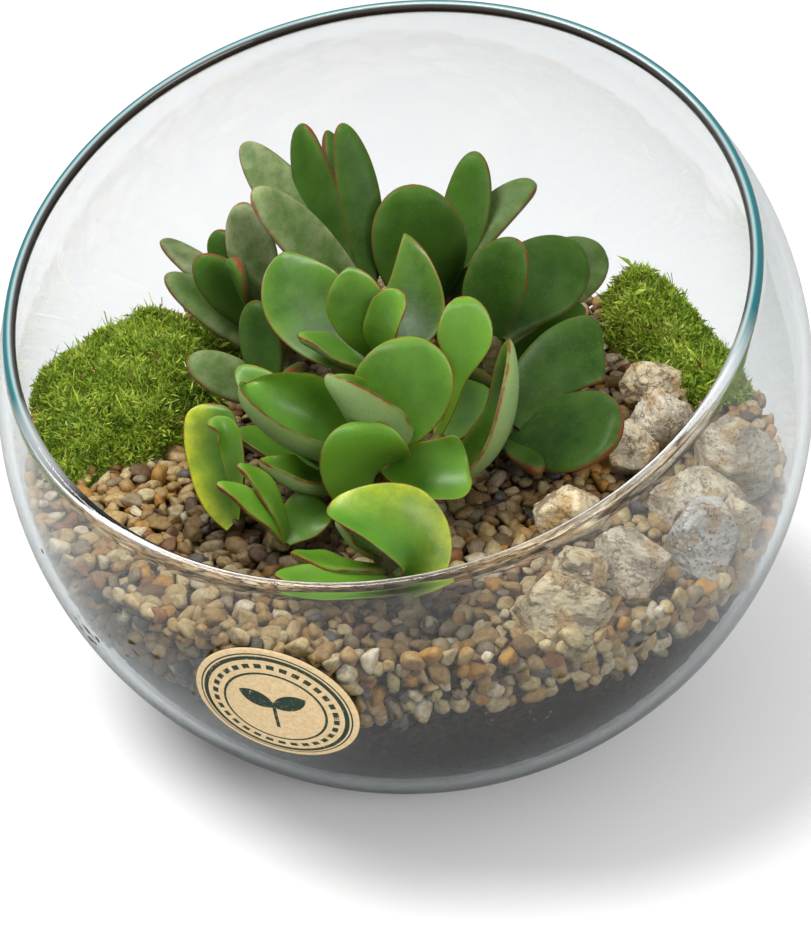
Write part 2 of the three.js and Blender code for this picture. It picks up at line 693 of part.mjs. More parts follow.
function mossGeometry(cushion) {
  const roll = dice(cushion.seed);
  const grid = discGrid(MOSS_RINGS);
  const place = (corner, rise) => {
    const edge = 1 + 0.08 * Math.sin(5 * corner.angle + cushion.seed)
      + 0.05 * Math.sin(9 * corner.angle + 2 * cushion.seed);
    const along = cushion.reach[0] * corner.share * edge * Math.cos(corner.angle);
    const side = cushion.reach[1] * corner.share * edge * Math.sin(corner.angle);
    const x = cushion.place[0] + along * Math.cos(cushion.turn) - side * Math.sin(cushion.turn);
    const y = cushion.place[1] + along * Math.sin(cushion.turn) + side * Math.cos(cushion.turn);
    const reach = Math.hypot(x, y);
    const shrink = reach > MOSS_REACH ? (MOSS_REACH + 0.02 * (reach - MOSS_REACH)) / reach : 1;
    return new THREE.Vector3(x * shrink, y * shrink, MOSS_REST + rise);
  };
  const points = grid.corners.map((corner) => {
    if (corner.share === 1) return place(corner, 0);
    const dome = cushion.high * (1 - corner.share ** 3) ** 0.7;
    return place(corner, dome + (corner.bump ? MOSS_TUFT : -1) * (0.6 + 0.6 * roll()));
  });
  const corners = grid.faces.flatMap((face) => face);
  const under = points.push(place({ share: 0, angle: 0 }, 0)) - 1;
  for (let k = 0; k < grid.rimCount; k += 1) {
    corners.push(grid.rimStart + ((k + 1) % grid.rimCount), grid.rimStart + k, under);
  }
  return meshOf(points, corners);
}

// Materials
function finish(color, roughness) {
  return new THREE.MeshStandardMaterial({ color, roughness, metalness: 0 });
}

const clearGlass = new THREE.MeshStandardMaterial({
  color: 0xdcebe8, roughness: 0.03, metalness: 0, transparent: true, opacity: 0.35,
});
const kraftPaper = finish(0xcdb892, 0.85);
const darkSoil = finish(0x2e2119, 0.95);
const mixedGravel = finish(0xb39a78, 0.8);
const roughStone = finish(0xa39c8b, 0.85);
const greenMoss = finish(0x7f9a2c, 0.95);
const brightLeaf = finish(0x5aa22c, 0.4);
const darkLeaf = finish(0x3d6b2a, 0.35);

// The terrarium
const terrarium = new THREE.Group();

function addPiece(name, geometry, material) {
  const piece = new THREE.Mesh(geometry, material);
  piece.name = name;
  terrarium.add(piece);
}

const stems = [...WAVY_STEMS, ...SMOOTH_STEMS];
const holes = stems.map(stemHole);
const carve = (body, cutters) => cutters.reduce((left, cutter) => left.subtract(cutter), body);

addPiece('glass_bowl', bowlGeometry(), clearGlass);
addPiece('paper_label', labelGeometry(), kraftPaper);
addPiece('soil', surface(carve(solid(soilGeometry(0, 1)), holes)), darkSoil);

const sockets = STONES.map((stone, i) => solid(stoneGeometry(stone, i + 1, STONE_SOCKET)));
addPiece('gravel', surface(carve(gravelSolid(), [...holes, ...sockets])), mixedGravel);
STONES.forEach((stone, i) => {
  addPiece(stone.name, surface(stoneSolid(stone, i + 1)), roughStone);
});
CUSHIONS.forEach((cushion) => {
  addPiece(cushion.name, surface(carve(solid(mossGeometry(cushion)), sockets)), greenMoss);
});
WAVY_STEMS.forEach((stem) => {
  addPiece(stem.name, surface(stemSolid(stem, WAVY_LEAF)), brightLeaf);
});
SMOOTH_STEMS.forEach((stem) => {
  addPiece(stem.name, surface(stemSolid(stem, SMOOTH_LEAF)), darkLeaf);
});

export default terrarium;
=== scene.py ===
"""Glass plant terrarium: looks, light and camera over the CAD frame.

Shapes are worked out in millimetres in the part's own frame and become metres in a mesh.
"""
from math import acos, atan2, cos, hypot, pi, radians, sin, sqrt

import bmesh
import bpy
import numpy as np
from numpy.random import default_rng
from mathutils import Matrix, Vector


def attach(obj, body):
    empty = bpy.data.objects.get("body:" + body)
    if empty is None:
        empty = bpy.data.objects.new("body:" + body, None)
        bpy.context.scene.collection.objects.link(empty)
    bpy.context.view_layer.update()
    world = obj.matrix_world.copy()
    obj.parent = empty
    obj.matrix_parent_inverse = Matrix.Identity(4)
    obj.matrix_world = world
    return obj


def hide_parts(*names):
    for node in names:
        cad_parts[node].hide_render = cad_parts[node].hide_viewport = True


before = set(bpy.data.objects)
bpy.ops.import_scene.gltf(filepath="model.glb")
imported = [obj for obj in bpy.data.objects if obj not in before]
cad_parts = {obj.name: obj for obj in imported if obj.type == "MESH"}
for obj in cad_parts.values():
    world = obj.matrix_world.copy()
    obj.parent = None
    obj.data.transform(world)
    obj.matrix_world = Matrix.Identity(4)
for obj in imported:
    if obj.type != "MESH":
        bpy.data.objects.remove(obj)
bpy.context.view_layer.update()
scene = bpy.context.scene

MM = 0.001
FULL_TURN = 2 * pi

# Glass bowl
BOWL_RADIUS = 115
BOWL_MIDDLE = 98
WALL = 3
FLOOR = 5
FOOT_ROUND = 12
MOUTH_TILT = radians(25)
MOUTH_FROM_MIDDLE = 51.8
RIM_ROUND = 1.8
RIM_FRONT = radians(291)

# Label
LABEL_RADIUS = 22
LABEL_THICK = 0.4
LABEL_GAP = 0.3
LABEL_TURN = radians(-86)
LABEL_DROP = radians(-18)

# Fill
FILL_GAP = 1
FILL_BOTTOM = FLOOR + FILL_GAP
FILL_RADIUS = BOWL_RADIUS - WALL - FILL_GAP
SOIL_MIDDLE = 70
GRAVEL_TOP = 81
ROOT_BOTTOM = 56

# The sight line of the photograph, also used to place leaves
SIGHT_TURN = radians(21.6)
SIGHT_RISE = radians(30.6)
SIGHT_AWAY = 650
SIGHT_SCALE = 2273.6
SIGHT_LIFT = 21.5
PICTURE_MIDDLE = (405.5, 463)
PICTURE_HEIGHT = 926
SENSOR = 36

MIDDLE = np.array([0, 0, BOWL_MIDDLE], float)
TOWARDS = np.array([
    sin(SIGHT_TURN) * cos(SIGHT_RISE),
    -cos(SIGHT_TURN) * cos(SIGHT_RISE),
    sin(SIGHT_RISE),
])
RIGHT = np.array([cos(SIGHT_TURN), sin(SIGHT_TURN), 0])
ABOVE = np.cross(TOWARDS, RIGHT)


def seen(place):
    """The point at a picture place, this far in front of the bowl's middle."""
    across, down, near = place
    depth = SIGHT_AWAY - near
    return (MIDDLE + RIGHT * (across - PICTURE_MIDDLE[0]) * depth / SIGHT_SCALE
            + ABOVE * ((PICTURE_MIDDLE[1] - down) * depth / SIGHT_SCALE - SIGHT_LIFT)
            + TOWARDS * near)


def facing(look):
    """A direction given as seen: to the right, upwards and towards the eye."""
    return unit(RIGHT * look[0] + ABOVE * look[1] + TOWARDS * look[2])


def unit(vectors):
    return vectors / np.maximum(np.linalg.norm(vectors, axis=-1, keepdims=True), 1e-9)


def smooth_rise(share):
    return share * share * (3 - 2 * share)


def circle(columns):
    return np.linspace(0, FULL_TURN, columns, endpoint=False)


def swing(turn, first, second):
    """Directions round an axis, from the first towards the second."""
    return np.cos(turn)[:, None] * first + np.sin(turn)[:, None] * second


def level_ring(angle, reach, level):
    return np.stack([reach * np.cos(angle), reach * np.sin(angle), level + 0 * angle], -1)


# Meshes
def make_piece(name, node, points, faces, materials, values=None, kinds=None, smooth=True):
    """An object from points in millimetres, faces with the same count of corners, values for
    each point and the kind of material of each face."""
    mesh = bpy.data.meshes.new(name)
    faces = np.asarray(faces, dtype=np.int32)
    count, sides = faces.shape
    mesh.vertices.add(len(points))
    mesh.vertices.foreach_set("co", (np.asarray(points, float) * MM).ravel())
    mesh.loops.add(count * sides)
    mesh.loops.foreach_set("vertex_index", faces.ravel())
    mesh.polygons.add(count)
    mesh.polygons.foreach_set("loop_start", np.arange(count, dtype=np.int32) * sides)
    if kinds is not None:
        mesh.polygons.foreach_set("material_index", np.asarray(kinds, dtype=np.int32))
    mesh.polygons.foreach_set("use_smooth", np.full(count, smooth))
    for key, data in (values or {}).items():
        layer = mesh.attributes.new(key, "FLOAT", "POINT")
        layer.data.foreach_set("value", np.asarray(data, dtype=np.float32).ravel())
    mesh.update()
    mesh.validate()
    for material in materials:
        mesh.materials.append(material)
    piece = bpy.data.objects.new(name, mesh)
    scene.collection.objects.link(piece)
    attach(piece, "root")
    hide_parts(node)
    return piece


class Batch:
    """Meshes of one kind gathered into one piece."""

    def __init__(self):
        self.points, self.faces, self.kinds, self.values, self.count = [], [], [], {}, 0

    def add(self, points, faces, kind=0, **values):
        self.points.append(points)
        self.faces.append(np.asarray(faces) + self.count)
        self.kinds.append(np.full(len(faces), kind))
        for key, data in values.items():
            column = np.broadcast_to(np.asarray(data, float), (len(points),))
            self.values.setdefault(key, []).append(column)
        self.count += len(points)

    def piece(self, name, slot, node, materials, smooth=True):
        values = {key: np.concatenate(data) for key, data in self.values.items()}
        make_piece(name, node, np.concatenate(self.points), np.concatenate(self.faces),
                   materials, values, np.concatenate(self.kinds), smooth)


def grid_faces(rows, columns, closed=False):
    """Four-cornered faces of a grid of points, row by row."""
    row = np.arange(rows - 1)[:, None]
    column = np.arange(columns if closed else columns - 1)[None, :]
    after = (column + 1) % columns
    corners = [row * columns + column, row * columns + after,
               (row + 1) * columns + after, (row + 1) * columns + column]
    return np.stack(corners, -1).reshape(-1, 4)


def halves(quads):
    return np.concatenate([quads[:, [0, 1, 2]], quads[:, [0, 2, 3]]])


def icosphere(subdivisions):
    """Points and faces of a unit ball of even triangles."""
    shape = bmesh.new()
    bmesh.ops.create_icosphere(shape, subdivisions=subdivisions, radius=1)
    points = np.array([vertex.co[:] for vertex in shape.verts])
    faces = np.array([[vertex.index for vertex in face.verts] for face in shape.faces])
    shape.free()
    return points, faces


def waves(points, rng, scale, octaves=3):
    """Smooth noise from summed sines, about -1 to 1, with features near this many mm."""
    total = np.zeros(len(points))
    strength = 1.0
    for _ in range(octaves):
        for _ in range(5):
            way = unit(rng.normal(size=3)) * FULL_TURN / scale
            total += strength * np.sin(points @ way + rng.uniform(0, FULL_TURN))
        strength *= 0.5
        scale *= 0.5
    return total / 4


# Shaders
def paint(color):
    """A shader colour from three 8-bit display values. Anything else stays as it is."""
    if not (isinstance(color, tuple) and len(color) == 3):
        return color
    shares = [value / 255 for value in color]
    return (*[s / 12.92 if s <= 0.04045 else ((s + 0.055) / 1.055) ** 2.4 for s in shares], 1)


class Look:
    """The nodes of a material or a world, with short ways to add to them. A name given as an
    input stands for the mesh's value of that name. Patterns take the size of their features in
    millimetres."""

    def __init__(self, owner):
        owner.use_nodes = True
        self.owner, self.tree = owner, owner.node_tree
        self.tree.nodes.clear()

    def add(self, kind, settings=None, **inputs):
        made = self.tree.nodes.new("ShaderNode" + kind)
        for key, value in (settings or {}).items():
            setattr(made, key, value)
        for key, value in inputs.items():
            place = int(key[1:]) if key[0] == "_" else key.replace("_", " ")
            if isinstance(value, str):
                value = self.add("Attribute", {"attribute_name": value}).outputs["Fac"]
            if isinstance(value, bpy.types.NodeSocket):
                self.tree.links.new(value, made.inputs[place])
            else:
                made.inputs[place].default_value = value
        return made

    def place(self):
        return self.add("TexCoord").outputs["Object"]

    def math(self, operation, first, second=0.0, third=0.0, clamp=False):
        settings = {"operation": operation, "use_clamp": clamp}
        return self.add("Math", settings, _0=first, _1=second, _2=third).outputs[0]

    def times(self, first, *others):
        for other in others:
            first = self.math("MULTIPLY", first, other)
        return first

    def scaled(self, value, by, plus, clamp=False):
        return self.math("MULTIPLY_ADD", value, by, plus, clamp)

    def either(self, first, *others):
        for other in others:
            first = self.math("ADD", first, other, clamp=True)
        return first

    def within(self, value, middle, half):
        """1 where a value is less than half away from the middle, otherwise 0."""
        off = self.math("ABSOLUTE", self.math("SUBTRACT", value, middle))
        return self.math("LESS_THAN", off, half)

    def mix(self, share, first, second, blend="MIX"):
        settings = {"data_type": "RGBA", "blend_type": blend}
        return self.add("Mix", settings, _0=share, _6=paint(first), _7=paint(second)).outputs[2]

    def step(self, value, low, high, top=1.0):
        """0 at low, top at high and beyond, smooth between. Low may be the larger one."""
        return self.add("MapRange", {"interpolation_type": "SMOOTHSTEP"}, Value=value,
                        From_Min=low, From_Max=high, To_Max=top).outputs[0]

    def noise(self, size, detail=4.0, roughness=0.55, place=None):
        return self.add("TexNoise", Vector=place or self.place(), Detail=detail,
                        Roughness=roughness, Scale=1 / (size * MM)).outputs["Fac"]

    def patches(self, size, detail, low, high, top=1.0, roughness=0.55):
        return self.step(self.noise(size, detail, roughness), low, high, top)

    def cells(self, size, output="Distance"):
        made = self.add("TexVoronoi", Vector=self.place(), Scale=1 / (size * MM))
        return made.outputs[output]

    def ramp(self, value, stops, interpolation="LINEAR"):
        made = self.add("ValToRGB", Fac=value)
        made.color_ramp.interpolation = interpolation
        elements = made.color_ramp.elements
        while len(elements) < len(stops):
            elements.new(0.5)
        for element, (position, color) in zip(elements, stops):
            element.position = position
            element.color = paint(color)
        return made.outputs["Color"]

    def bump(self, height, depth, strength=1.0):
        return self.add("Bump", Height=height, Distance=depth * MM, Strength=strength).outputs[0]

    def surface(self, color, roughness, volume=None, **inputs):
        """Puts a Principled shader on the material and gives the material."""
        ends = {"Volume": volume} if volume else {}
        shader = self.add("BsdfPrincipled", Base_Color=color, Roughness=roughness, **inputs)
        self.add("OutputMaterial", Surface=shader.outputs[0], **ends)
        return self.owner


def start(name):
    return Look(bpy.data.materials.new(name))


# Materials
def leaf_material(name, dark, light, under, margin, halo, glow, speckle, shine):
    look = start(name)
    share = look.scaled(look.patches(9, 3, 0.3, 0.7), 0.25, "tone", clamp=True)
    color = look.mix(look.times("under", 0.8), look.mix(share, dark, light), under)
    cloud = look.scaled(look.patches(5, 5, 0.3, 0.7), 0.6, 0.4)
    # Painted light on the wavy leaves: a yellow glow of light shining through them. On the smooth
    # leaves the same mix paints their own pale bloom.
    color = look.mix(look.times("glow", cloud), color, glow)
    color = look.mix(look.patches(1.1, 2, 0.4, 0.75, 0.12), color, light)
    dots = look.step(look.cells(0.8), 0.2, 0.06, speckle)
    color = look.mix(look.times(dots, look.patches(6, 2, 0.42, 0.62)), color, (150, 176, 124))
    color = look.mix(look.patches(0.55, 3, 0.52, 0.7, 0.22, 0.7), color, dark)
    blush = look.times("blush", look.scaled(look.patches(6, 3, 0.36, 0.58), 0.7, 0.3))
    color = look.mix(look.times(look.step("edge", 0.02, 0.9, 0.5), blush), color, halo)
    rim = look.step(look.scaled(look.noise(2, 3), 0.4, "edge"), 0.66, 0.94)
    color = look.mix(look.times(rim, blush), color, margin)
    return look.surface(
        color, look.scaled(look.noise(4, 3), 0.2, 0.28),
        Normal=look.bump(look.noise(1.6, 4), 0.1, 0.5), Specular_IOR_Level=shine,
        Coat_Weight=shine / 4, Coat_Roughness=0.15,
        Subsurface_Weight=0.1, Subsurface_Radius=(0.6, 1.0, 0.3), Subsurface_Scale=0.0015,
    )


def bark_material():
    look = start("stem_bark")
    color = look.ramp(look.noise(2.2, 5), [
        (0.3, (58, 44, 28)), (0.5, (96, 84, 48)), (0.7, (88, 104, 50)),
    ])
    return look.surface(color, 0.75, Normal=look.bump(look.noise(1.2, 4), 0.5))


def pebble_material():
    look = start("mixed_pebbles")
    color = look.ramp("tone", [
        (0.0, (194, 162, 104)), (0.16, (214, 190, 138)), (0.34, (204, 156, 78)),
        (0.46, (222, 206, 162)), (0.6, (240, 230, 204)), (0.67, (164, 150, 122)),
        (0.76, (190, 158, 104)), (0.88, (158, 112, 74)), (0.93, (128, 104, 74)),
        (0.96, (108, 106, 104)),
    ], "CONSTANT")
    mottle = look.patches(1.5, 6, 0.36, 0.66, roughness=0.65)
    color = look.mix(mottle, color, (222, 202, 168), "MULTIPLY")
    color = look.mix(look.patches(0.6, 4, 0.52, 0.7, 0.4), color, (112, 90, 62))
    # Painted shade: pebbles near the plants are darkened towards this brown, as if in the plants'
    # shadow.
    color = look.mix("damp", color, (70, 62, 44), "MULTIPLY")
    height = look.scaled(look.noise(0.5, 3), 0.4, look.noise(1.4, 5, 0.65))
    return look.surface(color, look.scaled(look.noise(3, 3), 0.3, 0.45),
                        Normal=look.bump(height, 0.4, 0.8), Specular_IOR_Level=0.4)


def bed_material():
    look = start("gravel_bed")
    # Darker than the pebbles: painted shade in the gaps between them.
    color = look.ramp(look.noise(3, 5), [
        (0.35, (78, 62, 44)), (0.55, (118, 96, 68)), (0.7, (148, 124, 90)),
    ])
    return look.surface(color, 0.9, Normal=look.bump(look.noise(2, 4), 1.0))


def stone_material():
    look = start("broken_granite")
    color = look.mix("tone", (226, 205, 158), (206, 203, 193))
    color = look.mix(look.patches(6, 5, 0.4, 0.65, 0.5), color, (156, 148, 130))
    layers = look.add("Mapping", Vector=look.place(), Rotation=(0.6, 0.5, 0), Scale=(1, 1, 4))
    stain = look.step(look.noise(9, 6, 0.7, layers.outputs[0]), 0.5, 0.6, 0.9)
    brown = look.math("SUBTRACT", 1.0, "tone")
    color = look.mix(look.times(stain, brown), color, (86, 66, 42))
    color = look.mix(look.patches(7, 4, 0.5, 0.62, 0.7), color, (176, 140, 80))
    off = look.math("ABSOLUTE", look.math("SUBTRACT", look.noise(11, 5, 0.6), 0.5))
    vein = look.times(look.step(off, 0.022, 0.004, 0.7), look.patches(9, 3, 0.42, 0.56))
    color = look.mix(vein, color, (84, 62, 40))
    grit = look.times(look.step(look.cells(0.55, "Color"), 0.66, 0.74),
                      look.patches(3.5, 4, 0.4, 0.6), look.scaled("tone", 0.35, 0.4))
    color = look.mix(grit, color, (66, 60, 54))
    glint = look.times(look.step(look.cells(1.1), 0.22, 0.1), look.patches(4, 3, 0.5, 0.65))
    color = look.mix(glint, color, (240, 236, 224))
    height = look.scaled(look.noise(0.8, 5, 0.7), 0.3, look.noise(3.5, 6, 0.65))
    return look.surface(color, 0.7, Normal=look.bump(height, 1.1, 0.9))


def moss_material():
    look = start("cushion_moss")
    color = look.ramp("tone", [
        (0.0, (112, 72, 36)), (0.1, (74, 96, 24)), (0.35, (124, 158, 40)),
        (0.6, (168, 196, 56)), (0.85, (206, 222, 96)), (1.0, (228, 232, 150)),
    ])
    color = look.mix(look.patches(12, 3, 0.45, 0.65, 0.3), color, (84, 138, 36))
    return look.surface(color, 0.7, Specular_IOR_Level=0.25, Subsurface_Weight=0.2,
                        Subsurface_Radius=(0.6, 1.0, 0.3), Subsurface_Scale=0.001)


def soil_material():
    look = start("potting_soil")
    crumbs = look.noise(2.4, 8, 0.7)
    color = look.ramp(crumbs, [
        (0.3, (20, 13, 9)), (0.5, (46, 32, 22)), (0.68, (92, 64, 42)),
    ])
    specks = look.times(look.step(look.cells(4.5), 0.12, 0.07), look.patches(9, 2, 0.5, 0.6))
    color = look.mix(specks, color, (168, 148, 118))
    height = look.math("ADD", crumbs, look.cells(2.0))
    return look.surface(color, 0.85, Normal=look.bump(height, 1.0, 0.8),
                        Specular_IOR_Level=0.05)


def paper_material():
    """Kraft paper printed with rings, a ring of dashes and a two-leaved sprout."""
    look = start("kraft_label")
    fibre = look.noise(1.2, 6, 0.7)
    paper = look.ramp(fibre, [(0.3, (184, 158, 114)), (0.7, (212, 188, 146))])
    paper = look.mix(look.patches(0.7, 2, 0.62, 0.7, 0.4), paper, (150, 120, 80))
    dash = look.math("LESS_THAN", look.math("FRACT", look.times("turn", 30)), 0.6)

    def disc(x, y, size):
        east = look.math("SUBTRACT", "across", x)
        north = look.math("SUBTRACT", "upwards", y)
        away = look.math("ADD", look.times(east, east), look.times(north, north))
        return look.math("LESS_THAN", away, size * size)

    def leaf_print(x, y, side):
        return look.times(disc(x + side * 1.5, y - 3, 6.2), disc(x - side * 1.5, y + 3, 6.2))

    ink = look.either(
        look.within("radius", 20.2, 0.22), look.within("radius", 18.9, 0.6),
        look.within("radius", 13.6, 0.35), look.times(look.within("radius", 16.2, 0.75), dash),
        leaf_print(4.3, 3.4, 1), leaf_print(-4.3, 3.4, -1),
        look.times(look.within("across", 0, 0.5), look.within("upwards", -3.6, 4.4)),
    )
    worn = look.patches(0.8, 5, 0.3, 0.42, roughness=0.7)
    color = look.mix(look.times(ink, worn), paper, (28, 52, 38))
    return look.surface(color, 0.8, Normal=look.bump(fibre, 0.08, 0.5))


def glass_material():
    look = start("clear_glass")
    tint = look.add("VolumeAbsorption", Color=paint((130, 208, 198)), Density=16.0)
    return look.surface((0.82, 0.82, 0.83, 1), 0.0, tint.outputs[0], IOR=1.48,
                        Specular_IOR_Level=0.25, Transmission_Weight=1.0)


def rim_material():
    """The melted rim, in painted bands: the glass's teal outside, then painted highlights and
    painted reflections of the dark contents inside. It is clear where it is nearest the eye.
    """
    look = start("rim_glass")
    # From outside in: the teal of the glass seen edge on, a painted highlight, painted
    # reflections of the soil and plants, and a painted highlight on the inner edge.
    color = look.ramp("band", [
        (0.0, (8, 70, 78)), (0.34, (22, 96, 102)), (0.44, (150, 170, 170)),
        (0.54, (60, 58, 54)), (0.66, (34, 28, 24)), (0.82, (44, 38, 32)),
        (0.94, (222, 212, 200)),
    ])
    return look.surface(look.mix("front", color, (255, 255, 255)), 0.04, IOR=1.4,
                        Transmission_Weight="front")


# Bowl
RIM_SIDES = 11


def ball_profile(radius, bottom):
    """Reach of a ball with a flat, rounded bottom for each angle down from +Z."""
    round_z = bottom + FOOT_ROUND
    round_x = sqrt((radius - FOOT_ROUND) ** 2 - (BOWL_MIDDLE - round_z) ** 2)
    meet = atan2(round_z - BOWL_MIDDLE, round_x)

    def arc(x, z, size, low, high, count):
        return [(x + size * cos(a), z + size * sin(a))
                for a in np.linspace(low, high, count)]

    outline = [(x, bottom) for x in np.linspace(0, round_x, 40)]
    outline += arc(round_x, round_z, FOOT_ROUND, -pi / 2, meet, 40)[1:]
    outline += arc(0, BOWL_MIDDLE, radius, meet, pi / 2, 80)[1:]
    x, z = np.array(outline).T
    angle = np.arctan2(x, z - BOWL_MIDDLE)
    return angle[::-1], np.hypot(x, z - BOWL_MIDDLE)[::-1]


def bowl_piece():
    rows, columns = 80, 168
    wall_middle = BOWL_RADIUS - WALL / 2
    rim_angle = acos(MOUTH_FROM_MIDDLE / wall_middle)
    axis = np.array([0, -sin(MOUTH_TILT), cos(MOUTH_TILT)])
    side = np.array([1.0, 0, 0])
    turn = circle(columns)
    around = swing(turn, side, np.cross(axis, side))
    down = rim_angle + (pi - rim_angle) * np.linspace(0.012, 0.9965, rows)

    def skin(radius, bottom):
        way = np.cos(down)[:, None, None] * axis + np.sin(down)[:, None, None] * around
        lean = np.arccos(np.clip(way[..., 2], -1, 1))
        return MIDDLE + way * np.interp(lean, *ball_profile(radius, bottom))[..., None]

    rim_way = cos(rim_angle) * axis + sin(rim_angle) * around
    along = unit(np.cross(rim_way, np.cross(axis, around)))
    lean_in = acos(WALL / 2 / RIM_ROUND)
    rim = np.stack([
        MIDDLE + rim_way * wall_middle + RIM_ROUND * (cos(a) * rim_way + sin(a) * along)
        for a in np.linspace(-lean_in, pi + lean_in, RIM_SIDES)
    ])
    rings = np.concatenate([skin(BOWL_RADIUS, 0)[::-1], rim, skin(BOWL_RADIUS - WALL, FLOOR)])
    points = rings.reshape(-1, 3)
    faces = [halves(grid_faces(len(rings), columns, closed=True))]
    for first, inside in ((0, False), ((len(rings) - 1) * columns, True)):
        ring = first + np.arange(columns)
        after = np.roll(ring, -1)
        centre = np.full(columns, len(points))
        faces.append(np.stack([centre, ring, after] if inside else [centre, after, ring], -1))
        points = np.vstack([points, points[ring].mean(0)])
    ring_of = np.tile(np.repeat(np.arange(len(rings) - 1), columns), 2)
    on_rim = (ring_of >= rows) & (ring_of < rows + RIM_SIDES - 1)
    band = np.clip((np.arange(len(rings)) - rows) / (RIM_SIDES - 1), 0, 1)
    front = np.clip((np.cos(turn - RIM_FRONT) - 0.3) / 0.35, 0, 1)
    values = dict(band=np.append(np.repeat(band, columns), [0, 1]),
                  front=np.append(np.tile(front, len(rings)), [0, 0]))
    piece = make_piece("bowl_glass", "glass_bowl", points,
                       np.concatenate(faces), [glass_material(), rim_material()], values,
                       np.append(on_rim, np.zeros(2 * columns)))
    shape = bmesh.new()
    shape.from_mesh(piece.data)
    bmesh.ops.recalc_face_normals(shape, faces=shape.faces)
    shape.to_mesh(piece.data)
    shape.free()
    piece.visible_shadow = False


def label_piece():
    rings, columns = 28, 96
    axis = np.array([cos(LABEL_DROP) * cos(LABEL_TURN), cos(LABEL_DROP) * sin(LABEL_TURN),
                     sin(LABEL_DROP)])
    side = np.array([-sin(LABEL_TURN), cos(LABEL_TURN), 0])
    turn = circle(columns)
    around = swing(turn, side, np.cross(axis, side))
    profile = [(share, LABEL_THICK) for share in np.linspace(0.001, 0.994, rings)]
    profile += [(1.0, LABEL_THICK * 0.6), (1.0, 0.0), (0.98, 0.0)]
    points = []
    for share, height in profile:
        lean = LABEL_RADIUS * share / BOWL_RADIUS
        radius = BOWL_RADIUS + LABEL_GAP + height
        points.append(MIDDLE + radius * (cos(lean) * axis + sin(lean) * around))
    radii = np.repeat([LABEL_RADIUS * share for share, _ in profile], columns)
    turns = np.tile(turn, len(profile))
    values = dict(radius=radii, turn=turns / FULL_TURN, across=radii * np.cos(turns),
                  upwards=radii * np.sin(turns))
    make_piece("label_paper", "paper_label", np.concatenate(points),
               grid_faces(len(profile), columns, closed=True), [paper_material()], values)


# Soil and gravel, with each layer's gap between pebbles and its depth under the top
SOIL_EDGE = 60
GRAVEL_LAYERS = [(5.3, 2.5), (4.7, 0.5)]
LOW_LAYER_END = 30
FRONT_END = -10
FINE_END = -54
FINE_WALL = (-2.3, -0.2)
PEBBLE_SIZE = (1.7, 3.0)
LARGE_SIZE = (2.9, 3.8)
SMALL_SHARE = 0.93
WALL_SIZE = (1.9, 3.2)
WALL_GAP = 4.8
# How far from the plants' stems the gravel gets painted shade.
PLANT_SHADE_REACH = 28
BED_SINK = 3.4
BED_INSET = 3.2


def soil_wall(angle):
    """How high the soil reaches on the glass."""
    return (SOIL_EDGE + 9 * np.cos(angle - radians(15)) - 3 * np.cos(2 * (angle + radians(60)))
            + 1.2 * np.cos(7 * angle))


def wall_reach(level):
    """How far out the fill goes at this height."""
    flat = np.sqrt(np.maximum(FILL_RADIUS ** 2 - (level - BOWL_MIDDLE) ** 2, 0))
    return flat - 1.5 * np.maximum(0, 1 - (level - FILL_BOTTOM) / FOOT_ROUND)


def soil_piece():
    rng = default_rng(3)
    columns = 240
    angle = circle(columns)
    high = soil_wall(angle) + 1
    rings = [level_ring(angle, wall_reach(FILL_BOTTOM) * share, FILL_BOTTOM)
             for share in np.linspace(0.02, 1, 12)[:-1]]
    for share in np.linspace(0, 1, 52):
        level = FILL_BOTTOM + (high - FILL_BOTTOM) * share
        rings.append(level_ring(angle, wall_reach(level) - 0.2, level))
    for share in np.linspace(1, 0.02, 10)[1:]:
        level = SOIL_MIDDLE + (high - SOIL_MIDDLE) * smooth_rise(share)
        rings.append(level_ring(angle, wall_reach(high) * share, level))
    points = np.concatenate(rings)
    rough = 0.5 * waves(points, rng, 7) + 0.35 * waves(points, rng, 2.5, 2) - 0.5
    outside = np.hypot(points[:, 0], points[:, 1]) > 60
    points += unit(points * [1, 1, 0]) * (np.minimum(rough, 0.1) * outside)[:, None]
    make_piece("soil_body", "soil", points,
               grid_faces(len(rings), columns, closed=True), [soil_material()])


def pebble_shapes(rng, subdivisions, count=16):
    """Broken and worn stones: a ball clipped by a few planes, with the edges rubbed off."""
    ball, faces = icosphere(subdivisions)
    shapes = []
    for _ in range(count):
        normals = unit(rng.normal(size=(8, 3)))
        away = rng.uniform(0.55, 0.92, 8)
        lean = np.maximum(ball @ normals.T, 0.02)
        soft = ((lean / away) ** 12).sum(1) ** (-1 / 12)
        shapes.append(ball * np.minimum(soft, 1.05)[:, None])
    return shapes, faces


def spin(rng, tip=0.5):
    """A random turn that lies fairly flat."""
    turn, lean, way = rng.uniform(0, FULL_TURN), rng.normal(0, tip), rng.uniform(0, FULL_TURN)
    return np.array((Matrix.Rotation(way, 3, "Z") @ Matrix.Rotation(lean, 3, "X")
                     @ Matrix.Rotation(turn, 3, "Z")))


def scatter(rng, low, high, gap):
    """Places on a jittered hexagonal grid."""
    places = []
    for i, y in enumerate(np.arange(low[1], high[1], gap * 0.866)):
        x = np.arange(low[0] + (i % 2) * gap / 2, high[0], gap)
        places.append(np.stack([x, np.full(len(x), y)], -1))
    places = np.concatenate(places)
    return places + rng.uniform(-0.32, 0.32, places.shape) * gap


def covered(x, y, share):
    """Whether a place lies under a stone or a moss cushion."""
    for place, size, turn in [row[:3] for row in STONES] + [row[1:4] for row in CUSHIONS]:
        px, py = x - place[0], y - place[1]
        u = (px * cos(turn) + py * sin(turn)) / size[0]
        v = (py * cos(turn) - px * sin(turn)) / size[1]
        if u * u + v * v < share * share:
            return True
    return False


